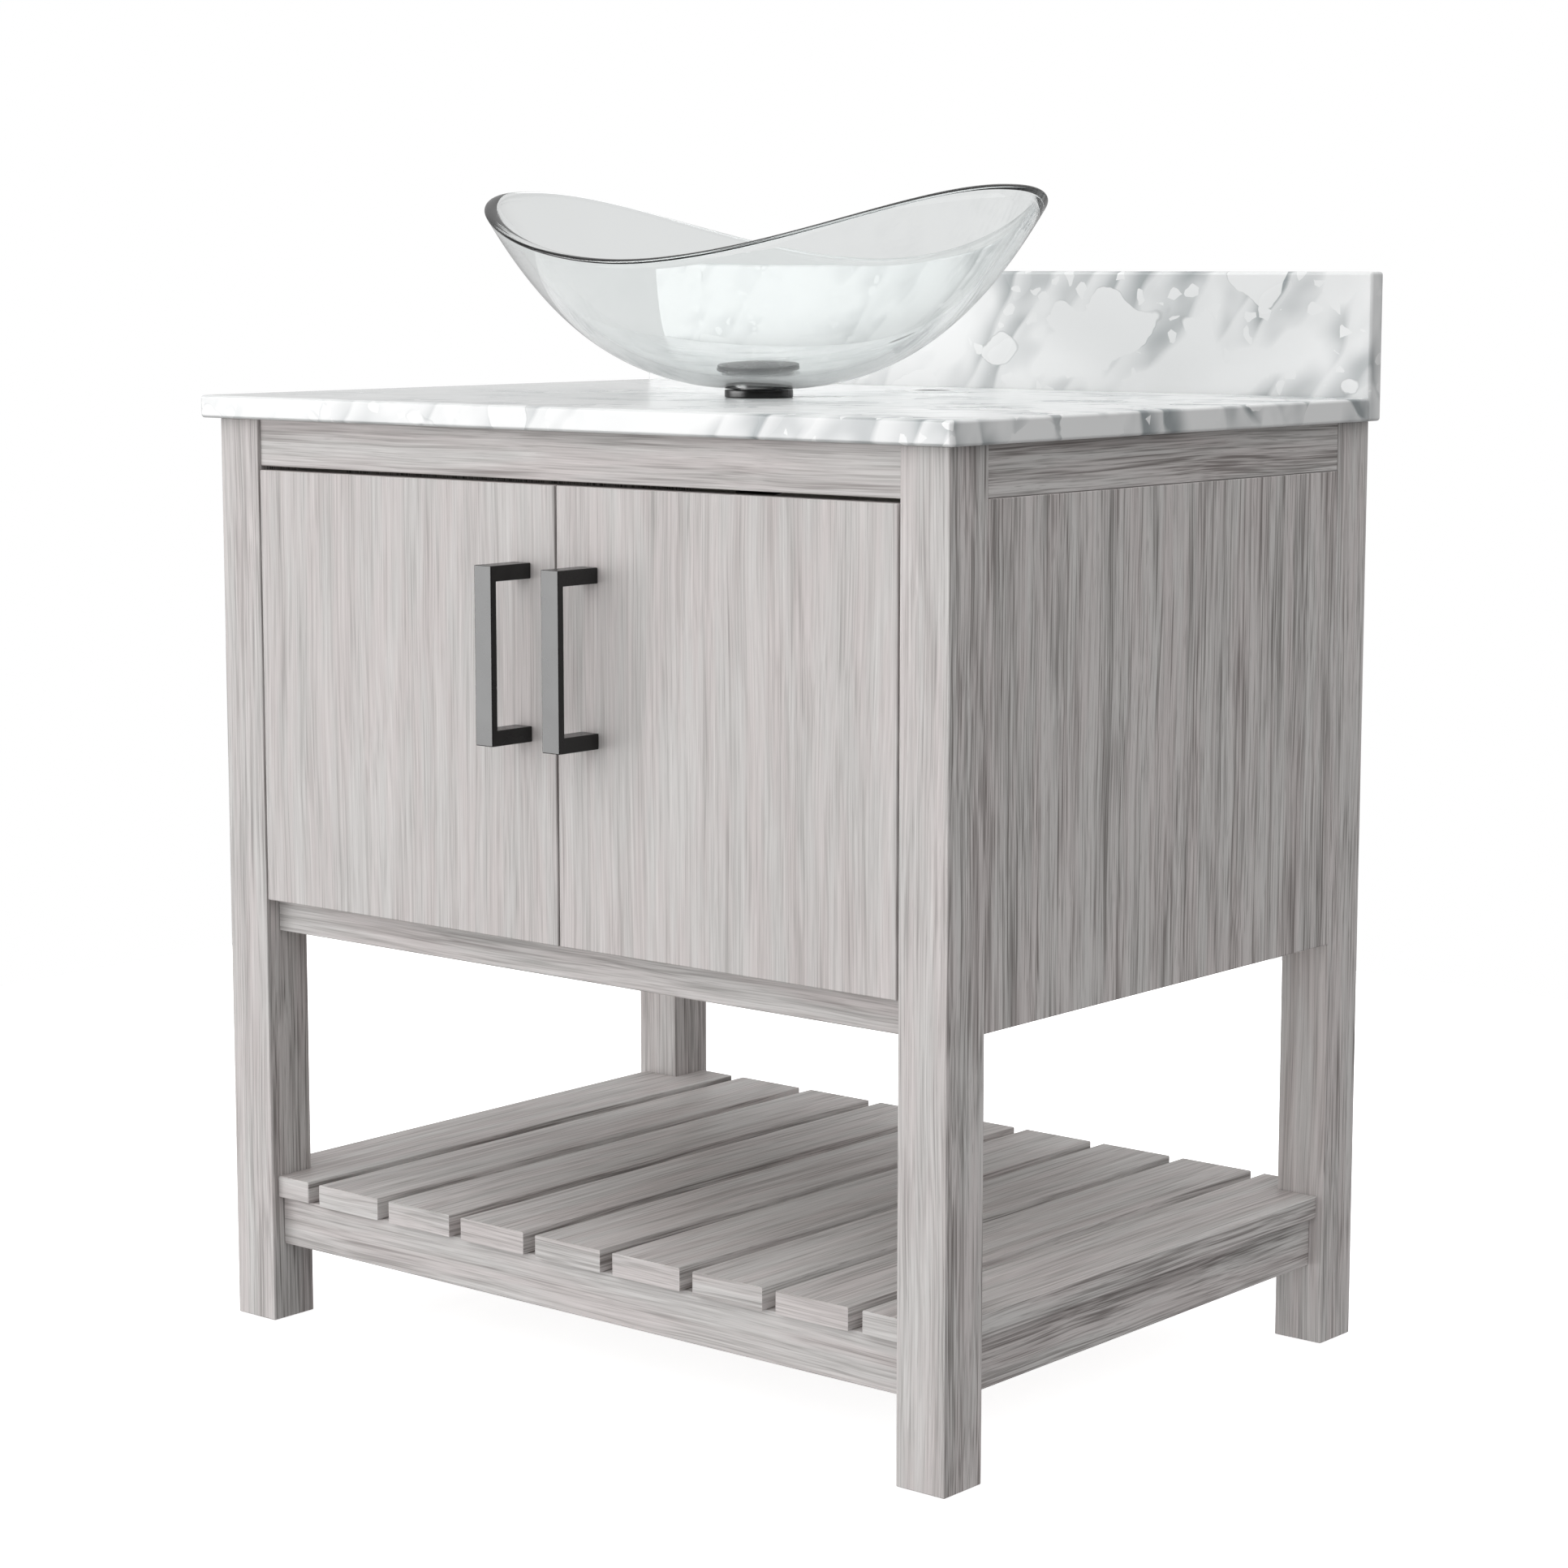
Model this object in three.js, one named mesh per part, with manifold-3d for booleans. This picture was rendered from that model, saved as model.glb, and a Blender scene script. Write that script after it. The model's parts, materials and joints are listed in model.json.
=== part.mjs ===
// Vessel sink on a bathroom vanity: an oval glass bowl on a stone top, carried by a wooden
// frame with two doors, a closed cabinet and an open slatted shelf.
// Millimetres, +Z up, front towards -Y, +X to the right.
// The origin is on the floor, in the middle of the whole object's footprint.

import * as THREE from "three";
import { mergeVertices } from "three/addons/utils/BufferGeometryUtils.js";
import Module from "manifold-3d";

const wasm = await Module();
wasm.setup();

// ---- Driving dimensions ----

const joinGap = 0.3; // left between two pieces that touch

// Frame: four square legs
const frameWidth = 765;
const frameDepth = 560;
const legHeight = 766.5;
const legSize = 45;

// Rails and panels of the cabinet
const boardThickness = 18;
const topRailHeight = 38.5;
const frontRailRecess = 2.6;
const sideRailRecess = 0.8;
const sidePanelRecess = 0.4;
const sidePanelThickness = 16;
const sidePanelRise = 2.3; // its lower edge above the cabinet's lowest edge
const caseBottom = 336.5;
const bottomRailHeight = 26;
const bottomRailRecess = 13.5;
const floorThickness = 16;
const backPanelThickness = 9;
const backPanelRecess = 12;
const plumbingWidth = 340;
const plumbingHeight = 200;
const plumbingCentreHeight = 560;
const plumbingCornerRadius = 20;
const cornerBlockHeight = 22;
const cornerBlockDrop = 3; // its top below the legs' top
const cornerBlockReach = 45; // along each rail, past the leg

// Doors
const doorThickness = 18;
const doorTopGap = 3.2;
const doorBottomGap = 2;
const doorSideGap = 1.9;
const doorCentreGap = 2;

// Handles: square-cornered bars
const handleLength = 140;
const handleWidth = 18.2;
const handleReach = 44.4;
const handleBarThickness = 6;
const handlePostHeight = 12.3;
const handleFromDoorEdge = 34.4; // its centreline to the door's free edge
const handleBelowDoorTop = 130.8; // its middle below the door's top edge
const screwRadius = 2;
const screwHeadRadius = 4;
const screwHeadThickness = 2.2;
const screwGrip = 8; // its length inside the handle's post

// Concealed hinges
const cupRadius = 17.5;
const cupDepth = 11.5;
const cupFromDoorEdge = 22.5;
const cupWall = 1;
const cupPlateWidth = 22;
const cupPlateHeight = 60;
const cupPlateThickness = 1.5;
const hingeFromDoorEnd = 90;
const hingeArmWidth = 12;
const hingeArmHeight = 14;
const hingeArmNose = 9.4;
const hingeArmGap = 0.8; // from the cup's plate
const hingePlateThickness = 3;
const hingePlateLength = 40;
const hingePlateHeight = 50;
const cleatDepth = 55;
const cleatToPlate = 8;

// Shelf
const shelfTop = 125.5;
const slatThickness = 18.5;
const slatCount = 9;
const slatGap = 13.35;
const outerSlatWidth = 76.2;
const slatFrontRecess = 6.6;
const slatSideRecess = 6.5;
const shelfRailHeight = 41.3;
const shelfRailThickness = 18;
const shelfRailFrontRecess = 12.7;
const shelfRailSideRecess = 13;

// Stone top and backsplash
const topThickness = 18.7;
const topSideOverhang = 11;
const topFrontOverhang = 12.8;
const topRearSetback = 17.3; // its rear edge in front of the rear legs' backs
const topCornerRadius = 3;
const splashThickness = 17.6;
const splashHeight = 101.6; // above the stone top
const faucetHoleRadius = 17.5;
const faucetHoleFromRear = 69.7;
const bowlFromFront = 254.8; // the bowl's centre from the top's front edge

// Glass bowl: an oval plan whose rim rises to a point at each end
const bowlHalfLength = 259.2;
const bowlHalfWidth = 169.3;
const bowlPlanExponent = 2.06; // 2 is an ellipse
const glassThickness = 9.5;
const rimCrown = 2.6;
const bowlScale = 200; // the radius at which the rise below is counted
const bowlSideways = 1.301; // how much steeper the bowl is across than along
const bowlRise = [53, 31.1, -3.3]; // rise for each power of the squared radius share
const bowlBottomLift = 2; // flattens the bottom above the curve's own lowest point
const bowlSeatHeight = 6.7; // the glass above the stone top

// Drain, from the tailpiece outwards
const tailpieceRadius = 15.9;
const tailpieceWall = 1.5;
const tailpieceLength = 118;
const tailpieceInsert = 13;
const tailpieceClearance = 0.4;
const drainBodyWall = 2.7;
const drainBodyLength = 98;
const drainHoleClearance = 3.5; // round the body, in the glass and the stone
const ringWidth = 5.5;
const flangeOverlap = 11.5; // past the edge of the hole in the glass
const flangeThickness = 2.6;
const gasketThickness = 1.3;
const gasketInset = 4; // inside the flange's edge
const capInset = 0.5; // inside the flange's edge
const capEdge = 2.2;
const capCrown = 3;
const capGap = 0.4;
const stemRadius = 4;
const stemLength = 42;
const stemClearance = 0.3;
const hubWall = 2.7;
const hubHeight = 8;
const hubDepth = 26; // its top below the flange's top
const spokeWidth = 3;
const washerThickness = 3;
const washerOverlap = 9.5; // past the edge of the hole in the stone
const nutWall = 7.7; // at the middle of a flat
const nutThickness = 13;
const threadClearance = 0.3;

const roundSegments = 32;
const bowlSegments = 64;
const bowlSteps = 9;
const rimSteps = 4;

// ---- Places worked out from them ----

const legOutX = frameWidth / 2;
const legInX = legOutX - legSize;
const legOutY = frameDepth / 2;
const legInY = legOutY - legSize;
const betweenLegsX = legInX - joinGap;
const betweenLegsY = legInY - joinGap;

const topRailBottom = legHeight - topRailHeight;
const frontRailBackY = -legOutY + frontRailRecess + boardThickness;
const sideRailInX = legOutX - sideRailRecess - boardThickness;
const sidePanelInX = legOutX - sidePanelRecess - sidePanelThickness;
const bottomRailTop = caseBottom + bottomRailHeight;
const bottomRailBackY = -legOutY + bottomRailRecess + boardThickness;

const doorTop = topRailBottom - doorTopGap;
const doorBottom = bottomRailTop + doorBottomGap;
const doorInX = doorCentreGap / 2;
const doorOutX = legInX - doorSideGap;
const doorFrontY = -legOutY;
const doorBackY = doorFrontY + doorThickness;

const slabX = legOutX + topSideOverhang;
const slabBottom = legHeight + joinGap;
const slabTop = slabBottom + topThickness;
const slabFrontY = -legOutY - topFrontOverhang;
const slabRearY = legOutY - topRearSetback;
const splashBackY = slabRearY + joinGap + splashThickness;
const faucetY = slabRearY - faucetHoleFromRear;
const bowlY = slabFrontY + bowlFromFront;

const drainBoreRadius = tailpieceRadius + tailpieceClearance;
const drainBodyRadius = drainBoreRadius + drainBodyWall;
const drainHoleRadius = drainBodyRadius + drainHoleClearance;
const threadRadius = drainBodyRadius + threadClearance;
const flangeRadius = drainHoleRadius + flangeOverlap;
const guideRadius = stemRadius + stemClearance;

// The gasket clears the glass, which rises most steeply across the bowl.
const bowlBottom = slabTop + bowlSeatHeight;
const flangeShare = flangeOverlap / (bowlHalfWidth - drainHoleRadius);
const [, glassAtFlange] = acrossTheGlass(Math.PI / 2, flangeShare);
const gasketBottom = bowlBottom + glassAtFlange.z + joinGap;
const flangeBottom = gasketBottom + gasketThickness + joinGap;
const flangeTop = flangeBottom + flangeThickness;
const drainBodyBottom = flangeBottom - drainBodyLength;

// ---- Finishes ----

const finish = (colour, roughness, metalness = 0) =>
  new THREE.MeshStandardMaterial({ color: colour, roughness, metalness });

const washedWood = finish(0xcfccca, 0.6);
const plainBoard = finish(0xd8d4cf, 0.7);
const marble = finish(0xf0f1f2, 0.25);
const blackMetal = finish(0x1a1a1c, 0.4, 0.8);
const steel = finish(0xb9bcc0, 0.35, 0.9);
const rubber = finish(0x232323, 0.85);
const chrome = finish(0xd6d9dc, 0.15, 1);
const clearGlass = new THREE.MeshStandardMaterial({
  color: 0xe4f0ef,
  roughness: 0.05,
  transparent: true,
  opacity: 0.35,
});

// ---- Building helpers ----

const vanity = new THREE.Group();

function addPiece(name, material, geometry) {
  const mesh = new THREE.Mesh(geometry, material);
  mesh.name = name;
  vanity.add(mesh);
  return mesh;
}

// A board or bar between two values on each axis.
function addBoard(name, material, [x0, x1], [y0, y1], [z0, z1]) {
  const mesh = addPiece(name, material, new THREE.BoxGeometry(x1 - x0, y1 - y0, z1 - z0));
  mesh.position.set((x0 + x1) / 2, (y0 + y1) / 2, (z0 + z1) / 2);
  return mesh;
}

// Two distances from the middle plane, as an ordered range on one side of it.
function onSide(side, near, far) {
  return side < 0 ? [-far, -near] : [near, far];
}

function shapeOf(points) {
  return new THREE.Shape(points.map(([x, y]) => new THREE.Vector2(x, y)));
}

function roundHole(x, y, radius) {
  return new THREE.Path().absarc(x, y, radius, 0, Math.PI * 2, true);
}

function roundedRectangle(path, x0, x1, y0, y1, radius) {
  path.moveTo(x0 + radius, y0);
  path.lineTo(x1 - radius, y0);
  path.absarc(x1 - radius, y0 + radius, radius, -Math.PI / 2, 0, false);
  path.lineTo(x1, y1 - radius);
  path.absarc(x1 - radius, y1 - radius, radius, 0, Math.PI / 2, false);
  path.lineTo(x0 + radius, y1);
  path.absarc(x0 + radius, y1 - radius, radius, Math.PI / 2, Math.PI, false);
  path.lineTo(x0, y0 + radius);
  path.absarc(x0 + radius, y0 + radius, radius, Math.PI, Math.PI * 1.5, false);
  return path;
}

// An outline in the XY plane, raised from z0 to z1.
function raised(shape, z0, z1, curveSegments = roundSegments) {
  const settings = { depth: z1 - z0, bevelEnabled: false, curveSegments };
  return new THREE.ExtrudeGeometry(shape, settings).translate(0, 0, z0);
}

// A profile of [radius, height] points turned about the vertical axis.
function turned(profile, segments = roundSegments) {
  const points = profile.map(([r, z]) => new THREE.Vector2(r, z));
  return new THREE.LatheGeometry(points, segments).rotateX(Math.PI / 2);
}

// A round bar along Y, from y0 to y1.
function barAlongY(radius, y0, y1, segments = roundSegments) {
  const bar = new THREE.CylinderGeometry(radius, radius, y1 - y0, segments);
  return bar.translate(0, (y0 + y1) / 2, 0);
}

function solidOf(geometry) {
  const bare = new THREE.BufferGeometry();
  bare.setAttribute("position", geometry.getAttribute("position"));
  bare.setIndex(geometry.getIndex());
  const welded = mergeVertices(bare, 1e-4);
  const corners = welded.getIndex().array;
  const triVerts = [];
  for (let i = 0; i < corners.length; i += 3) {
    const [a, b, c] = corners.slice(i, i + 3);
    if (a !== b && b !== c && c !== a) triVerts.push(a, b, c);
  }
  return new wasm.Manifold(
    new wasm.Mesh({
      numProp: 3,
      vertProperties: new Float32Array(welded.getAttribute("position").array),
      triVerts: new Uint32Array(triVerts),
    }),
  );
}

function geometryOf(solid) {
  const made = solid.getMesh();
  const geometry = new THREE.BufferGeometry();
  geometry.setAttribute("position", new THREE.BufferAttribute(made.vertProperties, 3));
  geometry.setIndex(new THREE.BufferAttribute(made.triVerts, 1));
  geometry.computeVertexNormals();
  return geometry;
}

function joined(first, ...others) {
  return others.reduce((sum, g) => sum.add(solidOf(g)), solidOf(first));
}

function cutFrom(solid, ...cutters) {
  return cutters.reduce((rest, g) => rest.subtract(solidOf(g)), solid);
}

// ---- Frame ----

const sides = [
  ["left", -1],
  ["right", 1],
];
const ends = [
  ["front", -1],
  ["rear", 1],
];

function addLegs() {
  for (const [endName, end] of ends) {
    for (const [sideName, side] of sides) {
      const x = onSide(side, legInX, legOutX);
      const y = onSide(end, legInY, legOutY);
      addBoard(`leg_${endName}_${sideName}`, washedWood, x, y, [0, legHeight]);
    }
  }
}

function addTopRails() {
  const z = [topRailBottom, legHeight];
  const across = [-betweenLegsX, betweenLegsX];
  const along = [-betweenLegsY, betweenLegsY];
  for (const [endName, end] of ends) {
    const y = onSide(end, -frontRailBackY, legOutY - frontRailRecess);
    addBoard(`top_rail_${endName}`, washedWood, across, y, z);
  }
  for (const [sideName, side] of sides) {
    const x = onSide(side, sideRailInX, legOutX - sideRailRecess);
    addBoard(`top_rail_${sideName}`, washedWood, x, along, z);
  }
}

function addBottomRails() {
  const across = [-betweenLegsX, betweenLegsX];
  for (const [endName, end] of ends) {
    const y = onSide(end, -bottomRailBackY, legOutY - bottomRailRecess);
    addBoard(`bottom_rail_${endName}`, washedWood, across, y, [caseBottom, bottomRailTop]);
  }
}

function addSidePanels() {
  const z = [caseBottom + sidePanelRise, topRailBottom - joinGap];
  for (const [sideName, side] of sides) {
    const x = onSide(side, sidePanelInX, legOutX - sidePanelRecess);
    addBoard(`side_panel_${sideName}`, washedWood, x, [-betweenLegsY, betweenLegsY], z);
  }
}

// The outline of a board that fills the frame and steps in past each leg.
function steppedOutline(wideX, wideY, narrowX, longY) {
  return shapeOf([
    [-narrowX, -longY],
    [narrowX, -longY],
    [narrowX, -wideY],
    [wideX, -wideY],
    [wideX, wideY],
    [narrowX, wideY],
    [narrowX, longY],
    [-narrowX, longY],
    [-narrowX, wideY],
    [-wideX, wideY],
    [-wideX, -wideY],
    [-narrowX, -wideY],
  ]);
}

function addCabinetFloor() {
  const reach = -bottomRailBackY - joinGap;
  const outline = steppedOutline(sidePanelInX - joinGap, betweenLegsY, betweenLegsX, reach);
  const top = bottomRailTop - joinGap;
  addPiece("cabinet_floor", plainBoard, raised(outline, top - floorThickness, top));
}

// The back panel lies between the rear rails and has a large opening for the plumbing.
function addBackPanel() {
  const bottom = bottomRailTop + joinGap;
  const top = topRailBottom - joinGap;
  const outline = shapeOf([
    [-betweenLegsX, bottom],
    [betweenLegsX, bottom],
    [betweenLegsX, top],
    [-betweenLegsX, top],
  ]);
  const halfWidth = plumbingWidth / 2;
  const low = plumbingCentreHeight - plumbingHeight / 2;
  const high = plumbingCentreHeight + plumbingHeight / 2;
  const hole = new THREE.Path();
  roundedRectangle(hole, -halfWidth, halfWidth, low, high, plumbingCornerRadius);
  outline.holes.push(hole);
  const panel = raised(outline, 0, backPanelThickness, 6).rotateX(Math.PI / 2);
  addPiece("back_panel", plainBoard, panel.translate(0, legOutY - backPanelRecess, 0));
}

// A block in each top corner ties two rails and the leg together and carries the stone top.
function addCornerBlocks() {
  const top = legHeight - cornerBlockDrop;
  const railX = sideRailInX - joinGap;
  const railY = -frontRailBackY - joinGap;
  for (const [endName, end] of ends) {
    for (const [sideName, side] of sides) {
      const corner = [
        [betweenLegsX, railY],
        [betweenLegsX, betweenLegsY],
        [railX, betweenLegsY],
        [railX, betweenLegsY - cornerBlockReach],
        [betweenLegsX - cornerBlockReach, railY],
      ];
      const outline = shapeOf(corner.map(([x, y]) => [x * side, y * end]));
      const block = raised(outline, top - cornerBlockHeight, top);
      addPiece(`corner_block_${endName}_${sideName}`, plainBoard, block);
    }
  }
}

// ---- Shelf ----

function addShelfRails() {
  const top = shelfTop - slatThickness - joinGap;
  const z = [top - shelfRailHeight, top];
  const frontY = legOutY - shelfRailFrontRecess;
  const outX = legOutX - shelfRailSideRecess;
  for (const [endName, end] of ends) {
    const y = onSide(end, frontY - shelfRailThickness, frontY);
    addBoard(`shelf_rail_${endName}`, washedWood, [-betweenLegsX, betweenLegsX], y, z);
  }
  for (const [sideName, side] of sides) {
    const x = onSide(side, outX - shelfRailThickness, outX);
    addBoard(`shelf_rail_${sideName}`, washedWood, x, [-betweenLegsY, betweenLegsY], z);
  }
}

// The slats run from front to back; the two outer ones are cut round the legs.
function addSlats() {
  const deckX = legOutX - slatSideRecess;
  const deckY = legOutY - slatFrontRecess;
  const innerCount = slatCount - 2;
  const gaps = (slatCount - 1) * slatGap;
  const innerWidth = (2 * (deckX - outerSlatWidth) - gaps) / innerCount;
  const z = [shelfTop - slatThickness, shelfTop];
  const innerEdge = deckX - outerSlatWidth;

  for (const [number, side] of [
    [1, -1],
    [slatCount, 1],
  ]) {
    const half = [
      [innerEdge, -deckY],
      [betweenLegsX, -deckY],
      [betweenLegsX, -betweenLegsY],
      [deckX, -betweenLegsY],
      [deckX, betweenLegsY],
      [betweenLegsX, betweenLegsY],
      [betweenLegsX, deckY],
      [innerEdge, deckY],
    ];
    const outline = shapeOf(half.map(([x, y]) => [x * side, y]));
    addPiece(`shelf_slat_${number}`, washedWood, raised(outline, ...z));
  }
  for (let i = 0; i < innerCount; i += 1) {
    const left = -innerEdge + slatGap + i * (innerWidth + slatGap);
    const x = [left, left + innerWidth];
    addBoard(`shelf_slat_${i + 2}`, washedWood, x, [-deckY, deckY], z);
  }
}

// ---- Doors, handles and hinges ----

const handleX = doorInX + handleFromDoorEdge;
const handleZ = doorTop - handleBelowDoorTop;
const screwZ = [1, -1].map((up) => handleZ + (up * (handleLength - handlePostHeight)) / 2);
const cupX = doorOutX - cupFromDoorEdge;
const hingeZ = [doorTop - hingeFromDoorEnd, doorBottom + hingeFromDoorEnd];
const heights = ["upper", "lower"];

function addDoors() {
  const width = doorOutX - doorInX;
  const height = doorTop - doorBottom;
  for (const [sideName, side] of sides) {
    const panel = new THREE.BoxGeometry(width, doorThickness, height);
    panel.translate((side * (doorInX + doorOutX)) / 2, (doorFrontY + doorBackY) / 2, 0);
    panel.translate(0, 0, (doorTop + doorBottom) / 2);
    const pockets = hingeZ.map((z) => {
      const pocket = barAlongY(cupRadius + joinGap, -cupDepth - joinGap, 1);
      return pocket.translate(side * cupX, doorBackY, z);
    });
    const screwHoles = screwZ.map((z) => {
      const hole = barAlongY(screwRadius + joinGap, doorFrontY - 1, doorBackY + 1, 16);
      return hole.translate(side * handleX, 0, z);
    });
    const door = cutFrom(solidOf(panel), ...pockets, ...screwHoles);
    addPiece(`door_${sideName}`, washedWood, geometryOf(door));
  }
}

// The handle's outline is drawn from the side, as depth and height, and extruded along X.
function addHandles() {
  const frontY = doorFrontY - handleReach;
  const barY = frontY + handleBarThickness;
  const footY = doorFrontY - joinGap;
  const half = handleLength / 2;
  const inside = half - handlePostHeight;
  const outline = shapeOf([
    [frontY, -half],
    [footY, -half],
    [footY, -inside],
    [barY, -inside],
    [barY, inside],
    [footY, inside],
    [footY, half],
    [frontY, half],
  ]);
  const depthHeightWidth = new THREE.Matrix4().makeBasis(
    new THREE.Vector3(0, 1, 0),
    new THREE.Vector3(0, 0, 1),
    new THREE.Vector3(1, 0, 0),
  );
  for (const [sideName, side] of sides) {
    const bar = raised(outline, -handleWidth / 2, handleWidth / 2);
    bar.applyMatrix4(depthHeightWidth).translate(side * handleX, 0, handleZ);
    const holes = screwZ.map((z) => {
      const hole = barAlongY(screwRadius + joinGap, footY - screwGrip - 2, footY + 1, 16);
      return hole.translate(side * handleX, 0, z);
    });
    addPiece(`handle_${sideName}`, blackMetal, geometryOf(cutFrom(solidOf(bar), ...holes)));
  }
}

function addHandleScrews() {
  const tip = doorFrontY - joinGap - screwGrip;
  const seat = doorBackY + joinGap;
  for (const [sideName, side] of sides) {
    screwZ.forEach((z, i) => {
      const shank = barAlongY(screwRadius, tip, seat + 1, 16);
      const head = barAlongY(screwHeadRadius, seat, seat + screwHeadThickness, 24);
      const screw = geometryOf(joined(shank, head));
      screw.translate(side * handleX, 0, z);
      addPiece(`handle_screw_${sideName}_${heights[i]}`, steel, screw);
    });
  }
}

// The hinge's cup sits in the door's pocket, with its plate on the door's back.
function addHingeCups() {
  for (const [sideName, side] of sides) {
    hingeZ.forEach((z, i) => {
      const cup = barAlongY(cupRadius, -cupDepth, joinGap + 0.5);
      const plate = new THREE.BoxGeometry(cupPlateWidth, cupPlateThickness, cupPlateHeight);
      plate.translate(0, joinGap + cupPlateThickness / 2, 0);
      const hollow = barAlongY(cupRadius - cupWall, cupWall - cupDepth, cupDepth);
      const made = geometryOf(cutFrom(joined(cup, plate), hollow));
      made.translate(side * cupX, doorBackY, z);
      addPiece(`hinge_cup_${sideName}_${heights[i]}`, steel, made);
    });
  }
}

// The cleat fills the space behind the front leg, flush with the leg's inner face, so that
// the hinges have something to be screwed to.
function addHingeCleats() {
  const z = [bottomRailTop, topRailBottom - joinGap];
  for (const [sideName, side] of sides) {
    const x = onSide(side, legInX, sidePanelInX - joinGap);
    const y = [-betweenLegsY, -betweenLegsY + cleatDepth];
    addBoard(`hinge_cleat_${sideName}`, plainBoard, x, y, z);
  }
}

// The arm is screwed to the cleat and ends just behind the cup. The real hinge's links join
// the two; they are left out, so the door is free to turn about its front edge.
function addHingeArms() {
  const plateX = legInX - joinGap;
  const armX = plateX - hingePlateThickness;
  const noseY = doorBackY + joinGap + cupPlateThickness + hingeArmGap;
  const plateY = -betweenLegsY + cleatToPlate;
  const outline = [
    [cupX - hingeArmWidth / 2, noseY],
    [armX, noseY],
    [armX, plateY + hingePlateLength],
    [armX - hingeArmWidth, plateY + hingePlateLength - hingeArmWidth],
    [armX - hingeArmWidth, noseY + 2 * hingeArmNose],
    [cupX - hingeArmWidth / 2, noseY + hingeArmNose],
  ];
  for (const [sideName, side] of sides) {
    hingeZ.forEach((z, i) => {
      const shape = shapeOf(outline.map(([x, y]) => [x * side, y]));
      const arm = raised(shape, -hingeArmHeight / 2, hingeArmHeight / 2);
      const plate = new THREE.BoxGeometry(
        hingePlateThickness + 1,
        hingePlateLength,
        hingePlateHeight,
      );
      const plateMiddle = plateX - (hingePlateThickness + 1) / 2;
      plate.translate(side * plateMiddle, plateY + hingePlateLength / 2, 0);
      const made = geometryOf(joined(arm, plate)).translate(0, 0, z);
      addPiece(`hinge_arm_${sideName}_${heights[i]}`, steel, made);
    });
  }
}

// ---- Stone top ----

function addCountertop() {
  const outline = new THREE.Shape();
  roundedRectangle(outline, -slabX, slabX, slabFrontY, slabRearY, topCornerRadius);
  outline.holes.push(roundHole(0, faucetY, faucetHoleRadius));
  outline.holes.push(roundHole(0, bowlY, drainHoleRadius));
  addPiece("countertop", marble, raised(outline, slabBottom, slabTop, 16));
}

function addBacksplash() {
  const y = [slabRearY + joinGap, splashBackY];
  addBoard("backsplash", marble, [-slabX, slabX], y, [slabBottom, slabTop + splashHeight]);
}

// ---- Glass bowl ----

// Height of the bowl's outer face above its lowest point, at x and y from its centre.
function bowlHeight(x, y) {
  const q = (x * x + (bowlSideways * y) ** 2) / bowlScale ** 2;
  const rise = bowlRise.reduce((sum, k, power) => sum + k * q ** (power + 1), 0);
  return Math.hypot(rise, bowlBottomLift) - bowlBottomLift;
}

// The rim's distance from the centre in a direction seen from above.
function bowlReach(angle) {
  const along = Math.abs(Math.cos(angle) / bowlHalfLength) ** bowlPlanExponent;
  const across = Math.abs(Math.sin(angle) / bowlHalfWidth) ** bowlPlanExponent;
  return (along + across) ** (-1 / bowlPlanExponent);
}

// A point of the outer face and the one across the glass from it. The wall is crossed at
// right angles at the bottom and level at the rim, so the rim's two edges are level.
function acrossTheGlass(angle, share) {
  const radius = drainHoleRadius + (bowlReach(angle) - drainHoleRadius) * share;
  const x = radius * Math.cos(angle);
  const y = radius * Math.sin(angle);
  const step = 0.01;
  const slopeX = (bowlHeight(x + step, y) - bowlHeight(x - step, y)) / (2 * step);
  const slopeY = (bowlHeight(x, y + step) - bowlHeight(x, y - step)) / (2 * step);
  const normal = new THREE.Vector3(-slopeX, -slopeY, 1).normalize();
  const level = new THREE.Vector3(-slopeX, -slopeY, 0).normalize();
  const direction = normal.clone().lerp(level, share ** 3).normalize();
  const outer = new THREE.Vector3(x, y, bowlHeight(x, y));
  const inner = outer
    .clone()
    .addScaledVector(direction, glassThickness / direction.dot(normal));
  return [outer, inner];
}

// One cut through the glass: up the outer face, over the crowned rim, down the inner face.
function bowlSection(angle) {
  const walls = Array.from({ length: bowlSteps + 1 }, (_, i) =>
    acrossTheGlass(angle, i / bowlSteps),
  );
  const [outerEdge, innerEdge] = walls[bowlSteps];
  const middle = outerEdge.clone().add(innerEdge).multiplyScalar(0.5);
  const half = outerEdge.clone().sub(middle);
  const rim = [];
  for (let i = 1; i < rimSteps; i += 1) {
    const turn = (Math.PI * i) / rimSteps;
    const point = middle.clone().addScaledVector(half, Math.cos(turn));
    point.z += rimCrown * Math.sin(turn);
    rim.push(point);
  }
  const outer = walls.map(([point]) => point);
  const inner = walls.map(([, point]) => point).reverse();
  return [...outer, ...rim, ...inner];
}

function addGlassBowl() {
  const positions = [];
  const faces = [];
  let count = 0;
  for (let i = 0; i < bowlSegments; i += 1) {
    const section = bowlSection((2 * Math.PI * i) / bowlSegments);
    count = section.length;
    section.forEach((point) => positions.push(point.x, point.y, point.z));
  }
  for (let i = 0; i < bowlSegments; i += 1) {
    const next = (i + 1) % bowlSegments;
    for (let j = 0; j < count; j += 1) {
      const up = (j + 1) % count;
      const a = i * count + j;
      const b = next * count + j;
      const c = next * count + up;
      const d = i * count + up;
      faces.push(a, b, c, a, c, d);
    }
  }
  const geometry = new THREE.BufferGeometry();
  geometry.setAttribute("position", new THREE.Float32BufferAttribute(positions, 3));
  geometry.setIndex(faces);
  geometry.computeVertexNormals();
  addPiece("glass_bowl", clearGlass, geometry).position.set(0, bowlY, bowlBottom);
}

// ---- Drain ----

function addDrainPiece(name, material, geometry) {
  return addPiece(name, material, geometry.translate(0, bowlY, 0));
}

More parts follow.
